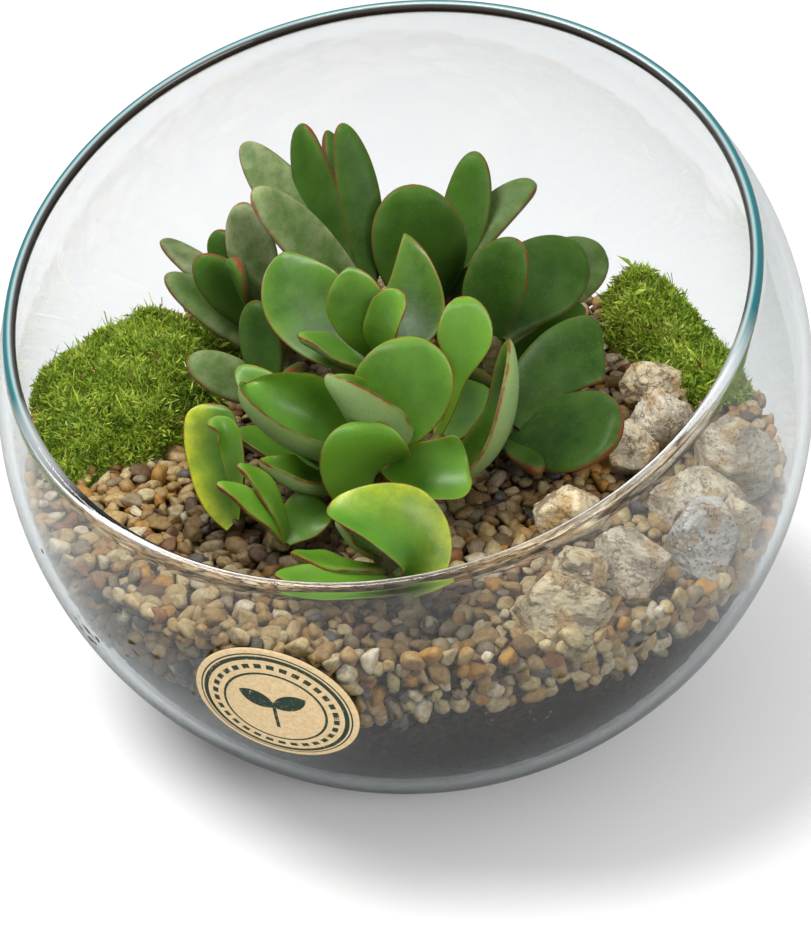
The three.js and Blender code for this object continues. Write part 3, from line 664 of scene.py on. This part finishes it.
def plant_shade_at(x, y):
    """The gravel is darker near the plants: painted shade, as if the plants cast it."""
    away = min(hypot(x - stand[0], y - stand[1])
               for _, stand, *_ in WAVY_STEMS + SMOOTH_STEMS)
    return min(max(1.35 - away / PLANT_SHADE_REACH, 0.35), 1)


def gravel_pieces():
    rng = default_rng(11)
    fine, coarse = pebble_shapes(rng, 3), pebble_shapes(rng, 2)
    material = pebble_material()
    front, back, wall = Batch(), Batch(), Batch()

    def pebble(batch, place, size, turn, near, damp):
        shapes, faces = fine if near else coarse
        shape = shapes[rng.integers(len(shapes))]
        stretch = size * rng.uniform((1.0, 0.8, 0.6), (1.4, 1.05, 0.9))
        # Each pebble carries its share of painted shade from the plants.
        batch.add(shape * stretch @ turn.T + place, faces, tone=rng.uniform(),
                  damp=damp * rng.uniform(0.8, 1.0))

    reach = wall_reach(GRAVEL_TOP)
    for layer, (gap, sink) in enumerate(GRAVEL_LAYERS):
        for x, y in scatter(rng, (-reach, -reach), (reach, reach), gap):
            far = hypot(x, y)
            size = rng.uniform(*(PEBBLE_SIZE if rng.uniform() < SMALL_SHARE else LARGE_SIZE))
            level = GRAVEL_TOP - sink + rng.uniform(-0.6, 0.7)
            hidden = layer == 0 and y > LOW_LAYER_END
            if far > reach - size * 0.9 or covered(x, y, 0.8) or hidden:
                continue
            near = layer == 1 and y < FINE_END and far < reach - 8
            pebble(front if y < FRONT_END else back, np.array([x, y, level]), size, spin(rng),
                   near, plant_shade_at(x, y))
    for along, level in scatter(rng, (0, 52), (FULL_TURN * reach, GRAVEL_TOP + 1), WALL_GAP):
        angle = along / reach
        if level < soil_wall(angle) + 1.2:
            continue
        size = rng.uniform(*WALL_SIZE)
        far = wall_reach(level) + 0.6 - size * 0.72
        way = np.array([cos(angle), sin(angle), 0])
        lean = pi / 2 - atan2(level - BOWL_MIDDLE, far)
        upright = np.array(Matrix.Rotation(angle, 3, "Z") @ Matrix.Rotation(lean, 3, "Y"))
        from_front = angle - (FULL_TURN if angle > pi else 0)
        pebble(wall, way * far + [0, 0, level], size, upright @ spin(rng, 0.35),
               FINE_WALL[0] < from_front < FINE_WALL[1], 0)
    for name, batch in (("gravel_front", front), ("gravel_back", back), ("gravel_wall", wall)):
        batch.piece(name, "mixed_gravel", "gravel", [material])
    bed_piece(rng)


def bed_piece(rng):
    """The dark bed that shows between the pebbles, painted darker than them as the shade beneath.
    """
    columns, top = 120, GRAVEL_TOP - BED_SINK
    angle = circle(columns)
    low = soil_wall(angle) - 4
    rings = []
    for share in np.linspace(0, 1, 8):
        level = low + (top - low) * share
        rings.append(level_ring(angle, wall_reach(level) - BED_INSET, level))
    for share in np.linspace(1, 0.01, 30)[1:]:
        rings.append(level_ring(angle, (wall_reach(top) - BED_INSET) * share, top))
    points = np.concatenate(rings)
    points[:, 2] += 0.5 * waves(points, rng, 9)
    make_piece("gravel_bed", "gravel", points,
               grid_faces(len(rings), columns, closed=True), [bed_material()])


# Stones, each with its place, its size, its turn about Z and how grey it is
STONE_CUTS = 9
STONE_CHIPS = 16
STONE_GAP = 0.6
STONES = [
    ((61, 44, 88), (11, 8, 8), 0.4, 0.2),
    ((70, 24, 89), (9, 9, 10.5), 0.9, 0.6),
    ((64, 9, 86), (9, 8.5, 9), 0.1, 0.4),
    ((60, -30, 87), (9.5, 8, 8), 0.6, 0.25),
    ((95, 6, 91), (12.5, 10, 16), 0.3, 0.5),
    ((89, -9, 86), (14, 10, 9.5), 0.5, 0.5),
    ((95, -30, 83), (10.5, 9.5, 17), 0.2, 1.0),
    ((80, -46, 84), (12.5, 9.5, 13), -0.3, 0.5),
    ((71.5, -58, 88), (7.5, 7, 8), 0.4, 0.1),
    ((69.5, -70, 81.5), (12.5, 10, 13), 0.2, 0.15),
    ((102, -17, 83), (6.5, 7, 12), 0.4, 0.3),
]


def dice(seed):
    """The part's own random numbers, the same every time."""
    mask = 0xFFFFFFFF
    while True:
        seed = (seed + 0x6D2B79F5) & mask
        mixed = (seed ^ (seed >> 15)) * (1 | seed) & mask
        mixed = (mixed + ((mixed ^ (mixed >> 7)) * (61 | mixed) & mask)) & mask ^ mixed
        yield ((mixed ^ (mixed >> 14)) & mask) / (mask + 1)


def stone_cuts(seed):
    """The broken faces of the part's own stone."""
    roll = dice(seed)
    normals, aways = [], []
    for i in range(STONE_CUTS):
        level = 1 - 2 * (i + next(roll)) / STONE_CUTS
        angle = 2.4 * i + next(roll)
        flat = sqrt(1 - level * level)
        normals.append((flat * cos(angle), flat * sin(angle), level))
        aways.append(0.68 + 0.24 * next(roll))
    return np.array(normals), np.array(aways)


def stone_pieces():
    material = stone_material()
    detailed, plain = icosphere(6), icosphere(5)
    for number, stone in enumerate(STONES, 1):
        place, size, turn, grey = stone
        ball, faces = detailed if min(size) > 9 else plain
        rng = default_rng(99 + number)
        normals, aways = stone_cuts(number)
        lean = ball @ normals.T
        reach = np.where(lean > 0.05, aways / np.maximum(lean, 0.05), 9).min(1)
        chips = np.maximum(ball @ unit(rng.normal(size=(STONE_CHIPS, 3))).T, 0.05)
        reach = np.minimum(reach, (rng.uniform(0.84, 1.02, STONE_CHIPS) / chips).min(1))
        points = ball * np.minimum(reach, 1.12)[:, None] * size
        out = unit(points)
        layers = points @ unit([0.4, 0.3, 1]) + 1.5 * waves(points, rng, 9, 2)
        ridge = 0.3 * np.abs(np.sin(layers * 1.3)) ** 0.4 * (grey < 0.3)
        rough = (0.3 * waves(points, rng, 10, 2) - 0.34 * np.abs(waves(points, rng, 4, 4))
                 + 0.14 * waves(points, rng, 1.6, 2) + ridge)
        points += out * rough[:, None]
        points = points @ np.array(Matrix.Rotation(turn, 3, "Z")).T + place
        for other in STONES:
            if other is stone:
                continue
            gap = np.subtract(place, other[0])
            share = sum(other[1]) / (sum(other[1]) + sum(size))
            normal = unit(gap)
            meet = other[0] + gap * share + normal * STONE_GAP / 2
            points -= np.minimum((points - meet) @ normal, 0)[:, None] * normal
        make_piece(f"broken_stone_{number}", f"stone_{number}", points, faces,
                   [material], {"tone": np.full(len(points), grey)})


# Moss, each cushion with its name, place, size, turn about Z, height, how much lower it is at
# one end, its seed and its count of strands
MOSS_REST = 84.2
MOSS_REACH = BOWL_RADIUS - WALL - 2.5
STRANDS_PER_TUFT = 16
STRAY_SHARE = 0.007
CURLS = 110
CURL_STEPS = 8
CUSHIONS = [
    ("moss_left", (-84, -8), (46, 27), 1.62, 15, 0, 5, 54000),
    ("moss_right", (58, 81), (38, 15.5), 2.38, 20, 0.78, 8, 30000),
    ("moss_back", (-8, 92), (22, 13), 3.0, 9, 0, 13, 8000),
]


def mound(cushion, share, angle):
    """Places over a cushion, at this share of the way out from its middle."""
    _, place, size, turn, high, thin, seed, _ = cushion
    edge = 1 + 0.08 * np.sin(5 * angle + seed) + 0.05 * np.sin(9 * angle + 2 * seed)
    along = size[0] * share * edge * np.cos(angle)
    side = size[1] * share * edge * np.sin(angle)
    x = place[0] + along * cos(turn) - side * sin(turn)
    y = place[1] + along * sin(turn) + side * cos(turn)
    reach = np.hypot(x, y)
    shrink = np.where(reach > MOSS_REACH, (MOSS_REACH + 0.02 * (reach - MOSS_REACH)) / reach, 1)
    dome = high * np.maximum(1 - share ** 3, 0) ** 0.7
    full = smooth_rise(np.clip((share * np.cos(angle) + 0.3) / 1.1, 0, 1))
    dome = dome * (1 - thin * (1 - full))
    return np.stack([x * shrink, y * shrink, MOSS_REST - 4 + dome], -1)


def moss_piece(cushion, material):
    name, place, *_, seed, count = cushion
    rng = default_rng(seed)
    batch = Batch()
    columns, rows = 110, 34
    angle = circle(columns)
    body = np.concatenate([mound(cushion, np.full(columns, share), angle)
                           for share in np.linspace(1.0, 0.01, rows)])

    def lumps(points):
        seeded = default_rng(seed)
        return 1.6 * waves(points, seeded, 15, 2) + 1.1 * waves(points, seeded, 5, 2)

    body[:, 2] += lumps(body) - 1.6
    # The body under the strands has a low tone: painted shade deep in the cushion.
    batch.add(body, halves(grid_faces(rows, columns, closed=True)), tone=0.16)

    # Strands stand in tufts of one lean and tone
    tufts = count // STRANDS_PER_TUFT
    tuft_share = np.sqrt(rng.uniform(0, 1, tufts))
    roots = mound(cushion, tuft_share, rng.uniform(0, FULL_TURN, tufts))
    patch = waves(roots, default_rng(seed + 1), 12, 3)
    roots[:, 2] += lumps(roots) - 0.8 + rng.uniform(0, 1.4, tufts)
    out = unit(roots - [*place, 0]) * [1, 1, 0]
    lean = unit(out * tuft_share[:, None] ** 2 + [0, 0, 1] + rng.normal(0, 0.4, (tufts, 3)))
    # Tufts on raised lumps are lighter than those in hollows: painted light and shade.
    tuft_tone = np.clip(0.56 + 0.12 * patch + 0.14 * lumps(roots) + rng.normal(0, 0.16, tufts),
                        0.1, 0.95)
    tuft_tone[patch > 1.5] = 0.0
    member = rng.integers(0, tufts, count)
    spread = rng.normal(0, 1, (count, 3)) * [0.55, 0.55, 0.7]
    root = roots[member] + spread
    way = unit(lean[member] * 0.7 + 0.7 * spread + rng.normal(0, 0.45, (count, 3)))
    way[:, 2] = np.maximum(way[:, 2], -0.05)
    length = rng.uniform(1.2, 3.2, count)
    stray = rng.uniform(size=count) > 1 - STRAY_SHARE
    length[stray] *= 2.2
    droop = rng.normal(0, 0.45, (count, 3)) - [0, 0, 0.3]
    across = unit(np.cross(way, rng.normal(size=(count, 3))))
    across *= (rng.uniform(0.1, 0.22, count) * np.where(stray, 0.8, 1))[:, None]
    half = (length * 0.5)[:, None]
    middle = root + way * half
    tip = root + way * length[:, None] + droop * half
    strand = np.stack([root, middle - across, middle + across, tip], 1)
    far = np.hypot(strand[..., 0], strand[..., 1])
    level = np.clip(strand[..., 2], 0, 200)
    limit = np.sqrt((BOWL_RADIUS - WALL - 0.8) ** 2 - (level - BOWL_MIDDLE) ** 2)
    strand[..., :2] *= np.minimum(1, limit / np.maximum(far, 1))[..., None]
    faces = 4 * np.arange(count)[:, None, None] + np.array([[0, 2, 3], [0, 3, 1]])
    tone = np.clip(tuft_tone[member] + rng.normal(0, 0.1, count), 0.08, 1)
    tone[rng.uniform(size=count) > 0.95] = 0.0
    # Each strand runs from a dark root to a light tip: painted shade in the depth of the cushion
    # and painted light on its top.
    tones = np.stack([tone * 0.4, tone * 0.85, tone * 0.95, np.minimum(tone * 1.3, 1)], 1)
    batch.add(strand.reshape(-1, 3), faces.reshape(-1, 3), tone=tones.ravel())

    # Longer stems curl out of the cushion here and there
    for start_at in rng.choice(np.flatnonzero(tuft_share > 0.45), CURLS):
        here, heading = roots[start_at], unit(lean[start_at] + [0, 0, 0.5])
        bend = rng.normal(0, 0.3, 3)
        thin = rng.uniform(0.12, 0.24)
        path, aside = [], unit(np.cross(heading, rng.normal(size=3))) * thin
        for _ in range(CURL_STEPS + 1):
            path += [here - aside, here + aside]
            here = here + heading * rng.uniform(0.6, 1.2)
            heading = unit(heading + bend + rng.normal(0, 0.15, 3))
        path = np.array(path)
        far = np.hypot(path[:, 0], path[:, 1])
        path[:, :2] *= np.minimum(1, (MOSS_REACH + 0.5) / far)[:, None]
        batch.add(path, halves(grid_faces(CURL_STEPS + 1, 2)),
                  tone=rng.choice([0.0, 0.3, 0.6, 0.9]))
    batch.piece(name + "_tufts", "green_moss", name, [material], smooth=False)


# Leaves
WAVY_LEAF = dict(thick=2.6, neck=0.34, taper=1.1, full=0.6, blunt=2.2, cup=0.5, arch=0, wave=1,
                 waves=1.7, peak=0.5, blush=0.95, tipped=0.2, glow=0.1)
SMOOTH_LEAF = dict(thick=4.8, neck=0.5, taper=1.1, full=0.54, blunt=2, cup=0.25, arch=0, wave=0,
                   waves=0, peak=0.5, blush=0.8, tipped=0.75, glow=0.1)
LEAF_ROWS = 36
LEAF_COLUMNS = 19
MARGIN_WIDTH = 0.55
HALO_WIDTH = 3


def leaf_width(leaf, along):
    rise = leaf["neck"] + (1 - leaf["neck"]) * np.sin(
        pi / 2 * np.minimum(along / leaf["full"], 1)) ** leaf["taper"]
    past = np.clip((along - leaf["full"]) / (1 - leaf["full"]), 0, 1)
    fall = np.maximum(0, 1 - past ** leaf["blunt"]) ** leaf["peak"]
    return np.where(along < leaf["full"], rise, fall)


def leaf_mesh(batch, base, leaf, tone):
    tip = seen(leaf["tip"])
    face = facing(leaf["face"])
    bend = seen(leaf["via"]) if leaf["via"] else (base + tip) / 2 + face * leaf["arch"] * 2
    along = 1 - (1 - np.arange(LEAF_ROWS)[:, None] / LEAF_ROWS) ** 1.5
    across = np.sin(pi / 2 * np.linspace(-1, 1, LEAF_COLUMNS))
    share = along[..., None]
    spine = base * (1 - share) ** 2 + bend * (2 * share * (1 - share)) + tip * share ** 2
    run = unit((bend - base) * (2 * (1 - share)) + (tip - bend) * (2 * share))
    sideways = unit(np.cross(run, face))
    outward = unit(np.cross(sideways, run))
    width = leaf_width(leaf, along)
    half = leaf["wide"] / 2 * width
    cup = leaf["cup"] * np.abs(across)
    ripple = np.sin(FULL_TURN * leaf["waves"] * along + np.sign(across))
    lift = (half * np.abs(across) * np.tan(cup / 2)
            + leaf["wave"] * along * across ** 2 * ripple)
    body = (leaf["thick"] / 2 * np.maximum(1 - np.abs(across) ** 2.4, 0) ** 0.5
            * np.minimum(1, 0.35 + width) * np.minimum(1, (1 - along) / 0.04) ** 0.5)
    flat = spine + sideways * (half * across * np.cos(cup / 2))[..., None]
    length = np.linalg.norm(tip - base)
    from_edge = np.minimum(half * (1 - np.abs(across)), (1 - along) * length)
    # Nearness to the edge, used to paint light shining through the thin edges.
    soft = np.exp(-from_edge / HALO_WIDTH)
    # A leaf's lit value puts more of the glow on one side of it: painted light on its lit side.
    lit = np.clip(0.25 + leaf["lit"] * across, 0, 1) if "lit" in leaf else 1
    blush = leaf["blush"] * (1 - leaf["tipped"] * (1 - along ** 3))
    shape = (LEAF_ROWS, LEAF_COLUMNS)

    def spread(value, at_tip):
        return np.append(np.broadcast_to(value, shape).ravel(), at_tip)

    last = (LEAF_ROWS - 1) * LEAF_COLUMNS + np.arange(LEAF_COLUMNS - 1)
    end = np.stack([last, last + 1, np.full(len(last), LEAF_ROWS * LEAF_COLUMNS)], -1)
    triangles = np.concatenate([halves(grid_faces(*shape)), end])
    for side in (1, -1):
        points = flat + outward * (lift + side * body)[..., None]
        batch.add(
            np.vstack([points.reshape(-1, 3), tip]), triangles[:, ::side],
            edge=spread(np.exp(-from_edge / MARGIN_WIDTH), 1),
            # Lighter near the edges: painted light shining through the thin edges.
            tone=spread(0.55 * tone + 0.2 * along + 0.3 * soft, 0.9),
            blush=spread(blush, leaf["blush"]),
            # The glow is strongest near the edges: painted light through the thin leaf, and bloom
            # on the smooth leaves.
            glow=spread(leaf["glow"] * (0.35 + 0.65 * soft) * lit, leaf["glow"]),
            under=0.0 if side > 0 else 1.0,
        )


def through(points, share):
    """A point on the centripetal curve through three points."""
    place = 2 * share
    first = min(int(place), 1)
    weight = place - first
    ends = [2 * points[0] - points[1], *points, 2 * points[2] - points[1]]
    p0, p1, p2, p3 = ends[first:first + 4]
    d0, d1, d2 = (np.sum((b - a) ** 2) ** 0.25 for a, b in ((p0, p1), (p1, p2), (p2, p3)))
    t1 = ((p1 - p0) / d0 - (p2 - p0) / (d0 + d1) + (p2 - p1) / d1) * d1
    t2 = ((p2 - p1) / d1 - (p3 - p1) / (d1 + d2) + (p3 - p2) / d2) * d1
    return (p1 + t1 * weight + (-3 * p1 + 3 * p2 - 2 * t1 - t2) * weight ** 2
            + (2 * p1 - 2 * p2 + t1 + t2) * weight ** 3)


def stem_mesh(batch, curve, thick, rng):
    rows, columns = 30, 16
    rings = []
    for share in np.linspace(0.3, 1, rows):
        here = through(curve, share)
        way = unit(through(curve, min(share + 0.01, 1)) - through(curve, share - 0.01))
        side = unit(np.cross(way, [0, 1, 0]))
        end = sqrt(max(1 - max((share - 0.95) / 0.05, 0) ** 2, 0.02))
        radius = thick / 2 * (1 + 0.07 * rng.normal()) * end
        rings.append(here + radius * swing(circle(columns), side, np.cross(way, side)))
    batch.add(np.concatenate(rings), halves(grid_faces(rows, columns, closed=True)), 1,
              edge=0, tone=0.5, under=0, blush=0, glow=0)


def leaf(at, tip, wide, face, via=None, **more):
    """A leaf from this share of its stem's length to its tip as seen."""
    return dict(at=at, tip=tip, wide=wide, face=face, via=via, **more)


# Stems, each with its name, its stand on the soil, its crown as seen, its thickness and leaves
# A leaf's glow is painted light through it on the wavy leaves and pale bloom on the smooth ones.
# Its lit value picks the side that gets more painted light.
WAVY_STEMS = [(
    "back", (-1, -18), (384, 356, 30), 5.5,
    leaf(0.94, (285, 251, 13), 24.5, (-0.15, 0.2, 1), (300, 324, 16), tone=0, peak=0.66,
         blunt=1.7),
    leaf(0.98, (348, 267, 42), 19, (-0.4, 0.2, 0.9), (362, 316, 42), tone=0.1, peak=0.7,
         blunt=1.6),
    leaf(0.97, (402, 291, 50), 12.5, (-0.2, 0.3, 0.9), (376, 326, 47), tone=0.55, full=0.45,
         blunt=2.5),
    leaf(0.99, (404, 233, 24), 22, (-0.35, 0.1, 0.9), (436, 306, 26), tone=-0.35, peak=0.8,
         full=0.4, blunt=1.2),
    leaf(0.9, (297, 335, 32), 13, (0.1, 0.85, 0.45), tone=0.6),
    leaf(0.7, (345, 330, 4), 18, (-0.1, 0.9, 0.3)),
), (
    "middle", (4, -40), (396, 440, 46), 5.5,
    leaf(0.98, (399, 337, 54), 27, (0.05, 0.2, 1), (408, 396, 50), tone=0.5, cup=0.35, wave=0.7),
    leaf(0.95, (328, 375, 62), 24, (0.1, 0.95, 0.15), (352, 434, 66), neck=0.6, cup=1.2),
    leaf(0.8, (247, 383, 44), 29, (0.1, 0.72, 0.69), (278, 452, 50), tone=0.5, cup=1.5, wave=0.6),
    leaf(0.66, (237, 367, 22), 13, (-0.3, 0.3, 0.9)),
    leaf(0.73, (318, 412, 22), 20, (-0.1, 0.5, 0.85)),
    leaf(0.62, (358, 421, 64), 25, (0, 0.3, 1), (362, 458, 64), tone=1.7, neck=0.65, full=0.45,
         blunt=2.8),
    leaf(0.6, (232, 432, 28), 20, (-0.1, 0.9, 0.4)),
    leaf(0.66, (261, 458, 50), 13, (0.05, 0.85, 0.5), (288, 502, 52), cup=1.3),
    leaf(0.85, (471, 473, 50), 20, (-0.5, 0.3, 0.8), (430, 480, 50), tone=0.35, full=0.75,
         blunt=4, cup=1),
), (
    "right", (26, -28), (436, 434, 30), 5,
    leaf(0.98, (462, 296, 46), 15.5, (0.05, 0.25, 1), (472, 384, 42), tone=1.3, neck=0.14,
         full=0.78, taper=10),
    leaf(0.66, (509, 338, 38), 15, (-0.95, 0.1, 0.3), (532, 446, 42), neck=0.7, full=0.4,
         blunt=1.7, cup=1.4, wave=0.6),
    leaf(0.9, (482, 384, 14), 15, (-0.2, 0.3, 0.9)),
), (
    "front", (34, -80), (374, 546, 60), 5,
    leaf(0.66, (327, 508, 72), 24, (0.3, 0.5, 0.8), (452, 532, 77), tone=0.55, neck=0.3,
         blunt=1.6, cup=0.8, glow=1, lit=1),
    leaf(0.9, (337, 518, 66), 10, (0.4, 0.7, 0.6), (354, 548, 64), cup=1.2),
    leaf(0.7, (275, 573, 68), 10, (0, 0.8, 0.6), (322, 590, 71)),
    leaf(0.8, (291, 552, 61), 9, (-0.1, 0.9, 0.3), (332, 572, 65)),
), (
    "left", (-11, -66), (284, 542, 49), 5,
    leaf(0.95, (216, 483, 60), 7, (0.5, 0.5, 0.7), (262, 506, 57)),
    leaf(0.98, (237, 464, 57), 7, (0.5, 0.5, 0.7), (280, 494, 54)),
    leaf(0.98, (322, 500, 42), 14, (0.1, 0.5, 0.85)),
), (
    "far_left", (-25, -61), (238, 518, 40), 4,
    leaf(0.9, (213, 403, 40), 15, (-0.2, 0.15, 1), (208, 490, 39), tone=0.3, neck=0.6,
         full=0.82, blunt=3.5, glow=1.4, lit=-1),
    leaf(0.98, (207, 424, 50), 8, (-0.3, 0.5, 0.8), (244, 424, 48), cup=1),
)]
SMOOTH_STEMS = [(
    "left", (-40, 12), (264, 302, -20), 7,
    leaf(0.97, (242, 202, -8), 15.5, (-0.3, 0.1, 0.95), glow=1),
    leaf(0.92, (214, 231, -20), 15, (-0.6, 0.1, 0.8)),
    leaf(0.9, (161, 240, -40), 10, (0, 0.6, 0.8), thick=4, glow=0.8),
    leaf(0.85, (196, 257, -10), 15, (-0.4, 0.2, 0.9)),
    leaf(0.98, (234, 257, 4), 12, (-0.75, 0.1, 0.6), (240, 292, 0)),
    leaf(0.7, (165, 275, -22), 12.5, (-0.2, 0.5, 0.85), glow=0.5),
    leaf(0.9, (262, 262, -58), 15, (-0.2, 0.9, -0.2)),
), (
    "middle", (-20, 16), (368, 274, -12), 7,
    leaf(0.9, (243, 143, -30), 16.5, (0.2, -0.1, 0.95), full=0.5, glow=0.8),
    leaf(0.95, (302, 123, -20), 15, (-0.6, 0.1, 0.75), (314, 206, -24)),
    leaf(0.96, (327, 130, -32), 10, (0.6, 0, 0.8), (346, 215, -30)),
    leaf(0.98, (341, 123, -4), 12.5, (0.2, -0.1, 0.95), (366, 206, -8)),
    leaf(0.88, (252, 190, 16), 15.5, (-0.15, 0.45, 0.9), arch=1.5, glow=0.8),
    leaf(0.85, (330, 225, -54), 16, (-0.1, 0.9, -0.2)),
    leaf(0.66, (300, 318, 0), 15, (0, 0.8, 0.5)),
), (
    "back", (0, 38), (442, 280, -24), 7,
    leaf(0.9, (413, 184, -2), 28, (0.05, 0.1, 1), (413, 262, -8), thick=5.5, blunt=2.4),
    leaf(0.97, (475, 151, -22), 15, (-0.3, 0, 0.95), (470, 222, -24)),
    leaf(0.97, (536, 183, -26), 13, (0.1, 0.7, 0.7), (488, 208, -24), glow=0.4),
    leaf(0.9, (450, 225, -58), 17, (0.1, 0.9, -0.2)),
    leaf(0.8, (482, 272, -16), 15, (0.1, 0.6, 0.8)),
), (
    "right", (20, 24), (490, 328, -6), 7,
    leaf(0.95, (521, 241, 8), 19, (-0.25, 0.1, 0.95), (484, 290, 2), tone=0.2),
    leaf(0.97, (589, 260, -14), 26, (0.05, 0.4, 0.9), (532, 272, -12), tone=0, thick=5.5),
    leaf(0.93, (607, 255, -36), 22, (0.2, 0.4, 0.9), (552, 268, -32), glow=0.4),
    leaf(0.8, (584, 306, -20), 14, (0.1, 0.6, 0.8)),
    leaf(0.9, (520, 262, -52), 17, (0.1, 0.9, -0.2)),
    leaf(0.6, (446, 360, 8), 16, (-0.1, 0.8, 0.5)),
), (
    "low_right", (30, 2), (506, 418, 8), 6.5,
    leaf(0.97, (604, 350, 4), 22, (0, 0.4, 0.9), (560, 348, 6), tone=0, thick=5.2, full=0.78,
         blunt=4.5),
    leaf(0.75, (622, 434, 30), 27, (0.05, 0.4, 0.9), tone=-0.1, thick=5.6, full=0.64),
    leaf(0.7, (539, 472, 30), 9, (0.2, 0.5, 0.8), thick=4),
), (
    "low_left", (-32, -12), (270, 390, 4), 6,
    leaf(0.9, (187, 360, 8), 14, (-0.1, 0.5, 0.85), glow=0.6),
    leaf(0.96, (254, 300, 4), 13, (-0.35, 0.1, 0.9)),
    leaf(0.8, (300, 366, 10), 15, (0, 0.85, 0.4)),
)]


def plant_pieces(plant, stems, kind, slot, material, seed):
    rng = default_rng(seed)
    bark = bark_material()
    for name, stand, crown, thick, *leaves in stems:
        batch = Batch()
        curve = [np.array([*stand, level], float) for level in (ROOT_BOTTOM, GRAVEL_TOP)]
        curve.append(seen(crown))
        stem_mesh(batch, curve, thick, rng)
        for row in leaves:
            drawn = rng.uniform()
            leaf_mesh(batch, through(curve, row["at"]), {**kind, **row}, row.get("tone", drawn))
        batch.piece(f"{plant}_{name}_leaves", slot, f"{plant}_{name}", [material, bark])


# The model
bowl_piece()
label_piece()
soil_piece()
gravel_pieces()
stone_pieces()
moss = moss_material()
for cushion_row in CUSHIONS:
    moss_piece(cushion_row, moss)
plant_pieces("wavy_stem", WAVY_STEMS, WAVY_LEAF, "bright_leaf", leaf_material(
    "wavy_leaf", dark=(26, 64, 8), light=(88, 138, 40), under=(132, 156, 106),
    margin=(100, 34, 20), halo=(160, 122, 44), glow=(176, 184, 40), speckle=0.08, shine=0.25), 21)
plant_pieces("smooth_stem", SMOOTH_STEMS, SMOOTH_LEAF, "dark_leaf", leaf_material(
    "smooth_leaf", dark=(18, 44, 8), light=(58, 98, 20), under=(66, 94, 40),
    margin=(134, 44, 40), halo=(120, 70, 44), glow=(166, 172, 130), speckle=0.3, shine=0.06), 22)

# Floor, light and camera
FLOOR_SIZE = 12
LIGHTS_AIM = Vector((0, 0, 0.1))
LIGHTS = [
    # Name, place, width and power
    ("key_light", (-0.45, -0.25, 1.15), 0.6, 14),
    ("fill_light", (0.8, -0.6, 0.7), 0.6, 7),
]
WORLD_STRENGTH = 0.7
WORLD_GREYS = [(0.03, 0.02), (0.14, 0.12), (0.25, 0.8), (0.32, 1)]

bpy.ops.mesh.primitive_plane_add(size=FLOOR_SIZE)
floor = bpy.context.object
floor.name = "studio_floor"
floor.data.materials.append(start("pale_floor").surface((0.86, 0.86, 0.86, 1), 0.9))
floor.visible_glossy = False

for name, place, size, power in LIGHTS:
    light = bpy.data.lights.new(name, "AREA")
    light.shape = "DISK"
    light.size = size
    light.energy = power
    lamp = bpy.data.objects.new(name, light)
    lamp.location = place
    lamp.rotation_euler = (LIGHTS_AIM - lamp.location).to_track_quat("-Z", "Y").to_euler()
    scene.collection.objects.link(lamp)

# The world is bright above and darker below, from its lowest point up
world = Look(bpy.data.worlds.new("studio"))
heading = world.add("SeparateXYZ", Vector=world.add("TexCoord").outputs["Generated"])
grey = world.ramp(world.scaled(heading.outputs["Z"], 0.5, 0.5),
                  [(at, (value, value, value, 1)) for at, value in WORLD_GREYS])
background = world.add("Background", Color=grey, Strength=WORLD_STRENGTH)
world.add("OutputWorld", Surface=background.outputs[0])
scene.world = world.owner

lens = bpy.data.cameras.new("camera")
lens.sensor_fit = "VERTICAL"
lens.sensor_height = SENSOR
lens.lens = SIGHT_SCALE / PICTURE_HEIGHT * SENSOR
lens.clip_start = 0.01
camera = bpy.data.objects.new("camera", lens)
eye = (MIDDLE + TOWARDS * SIGHT_AWAY - ABOVE * SIGHT_LIFT) * MM
camera.matrix_world = Matrix(np.vstack([np.stack([RIGHT, ABOVE, TOWARDS, eye], 1),
                                        [0, 0, 0, 1]]))
scene.collection.objects.link(camera)
scene.camera = camera
scene.view_settings.view_transform = "Standard"
scene.cycles.caustics_reflective = False
scene.cycles.caustics_refractive = False
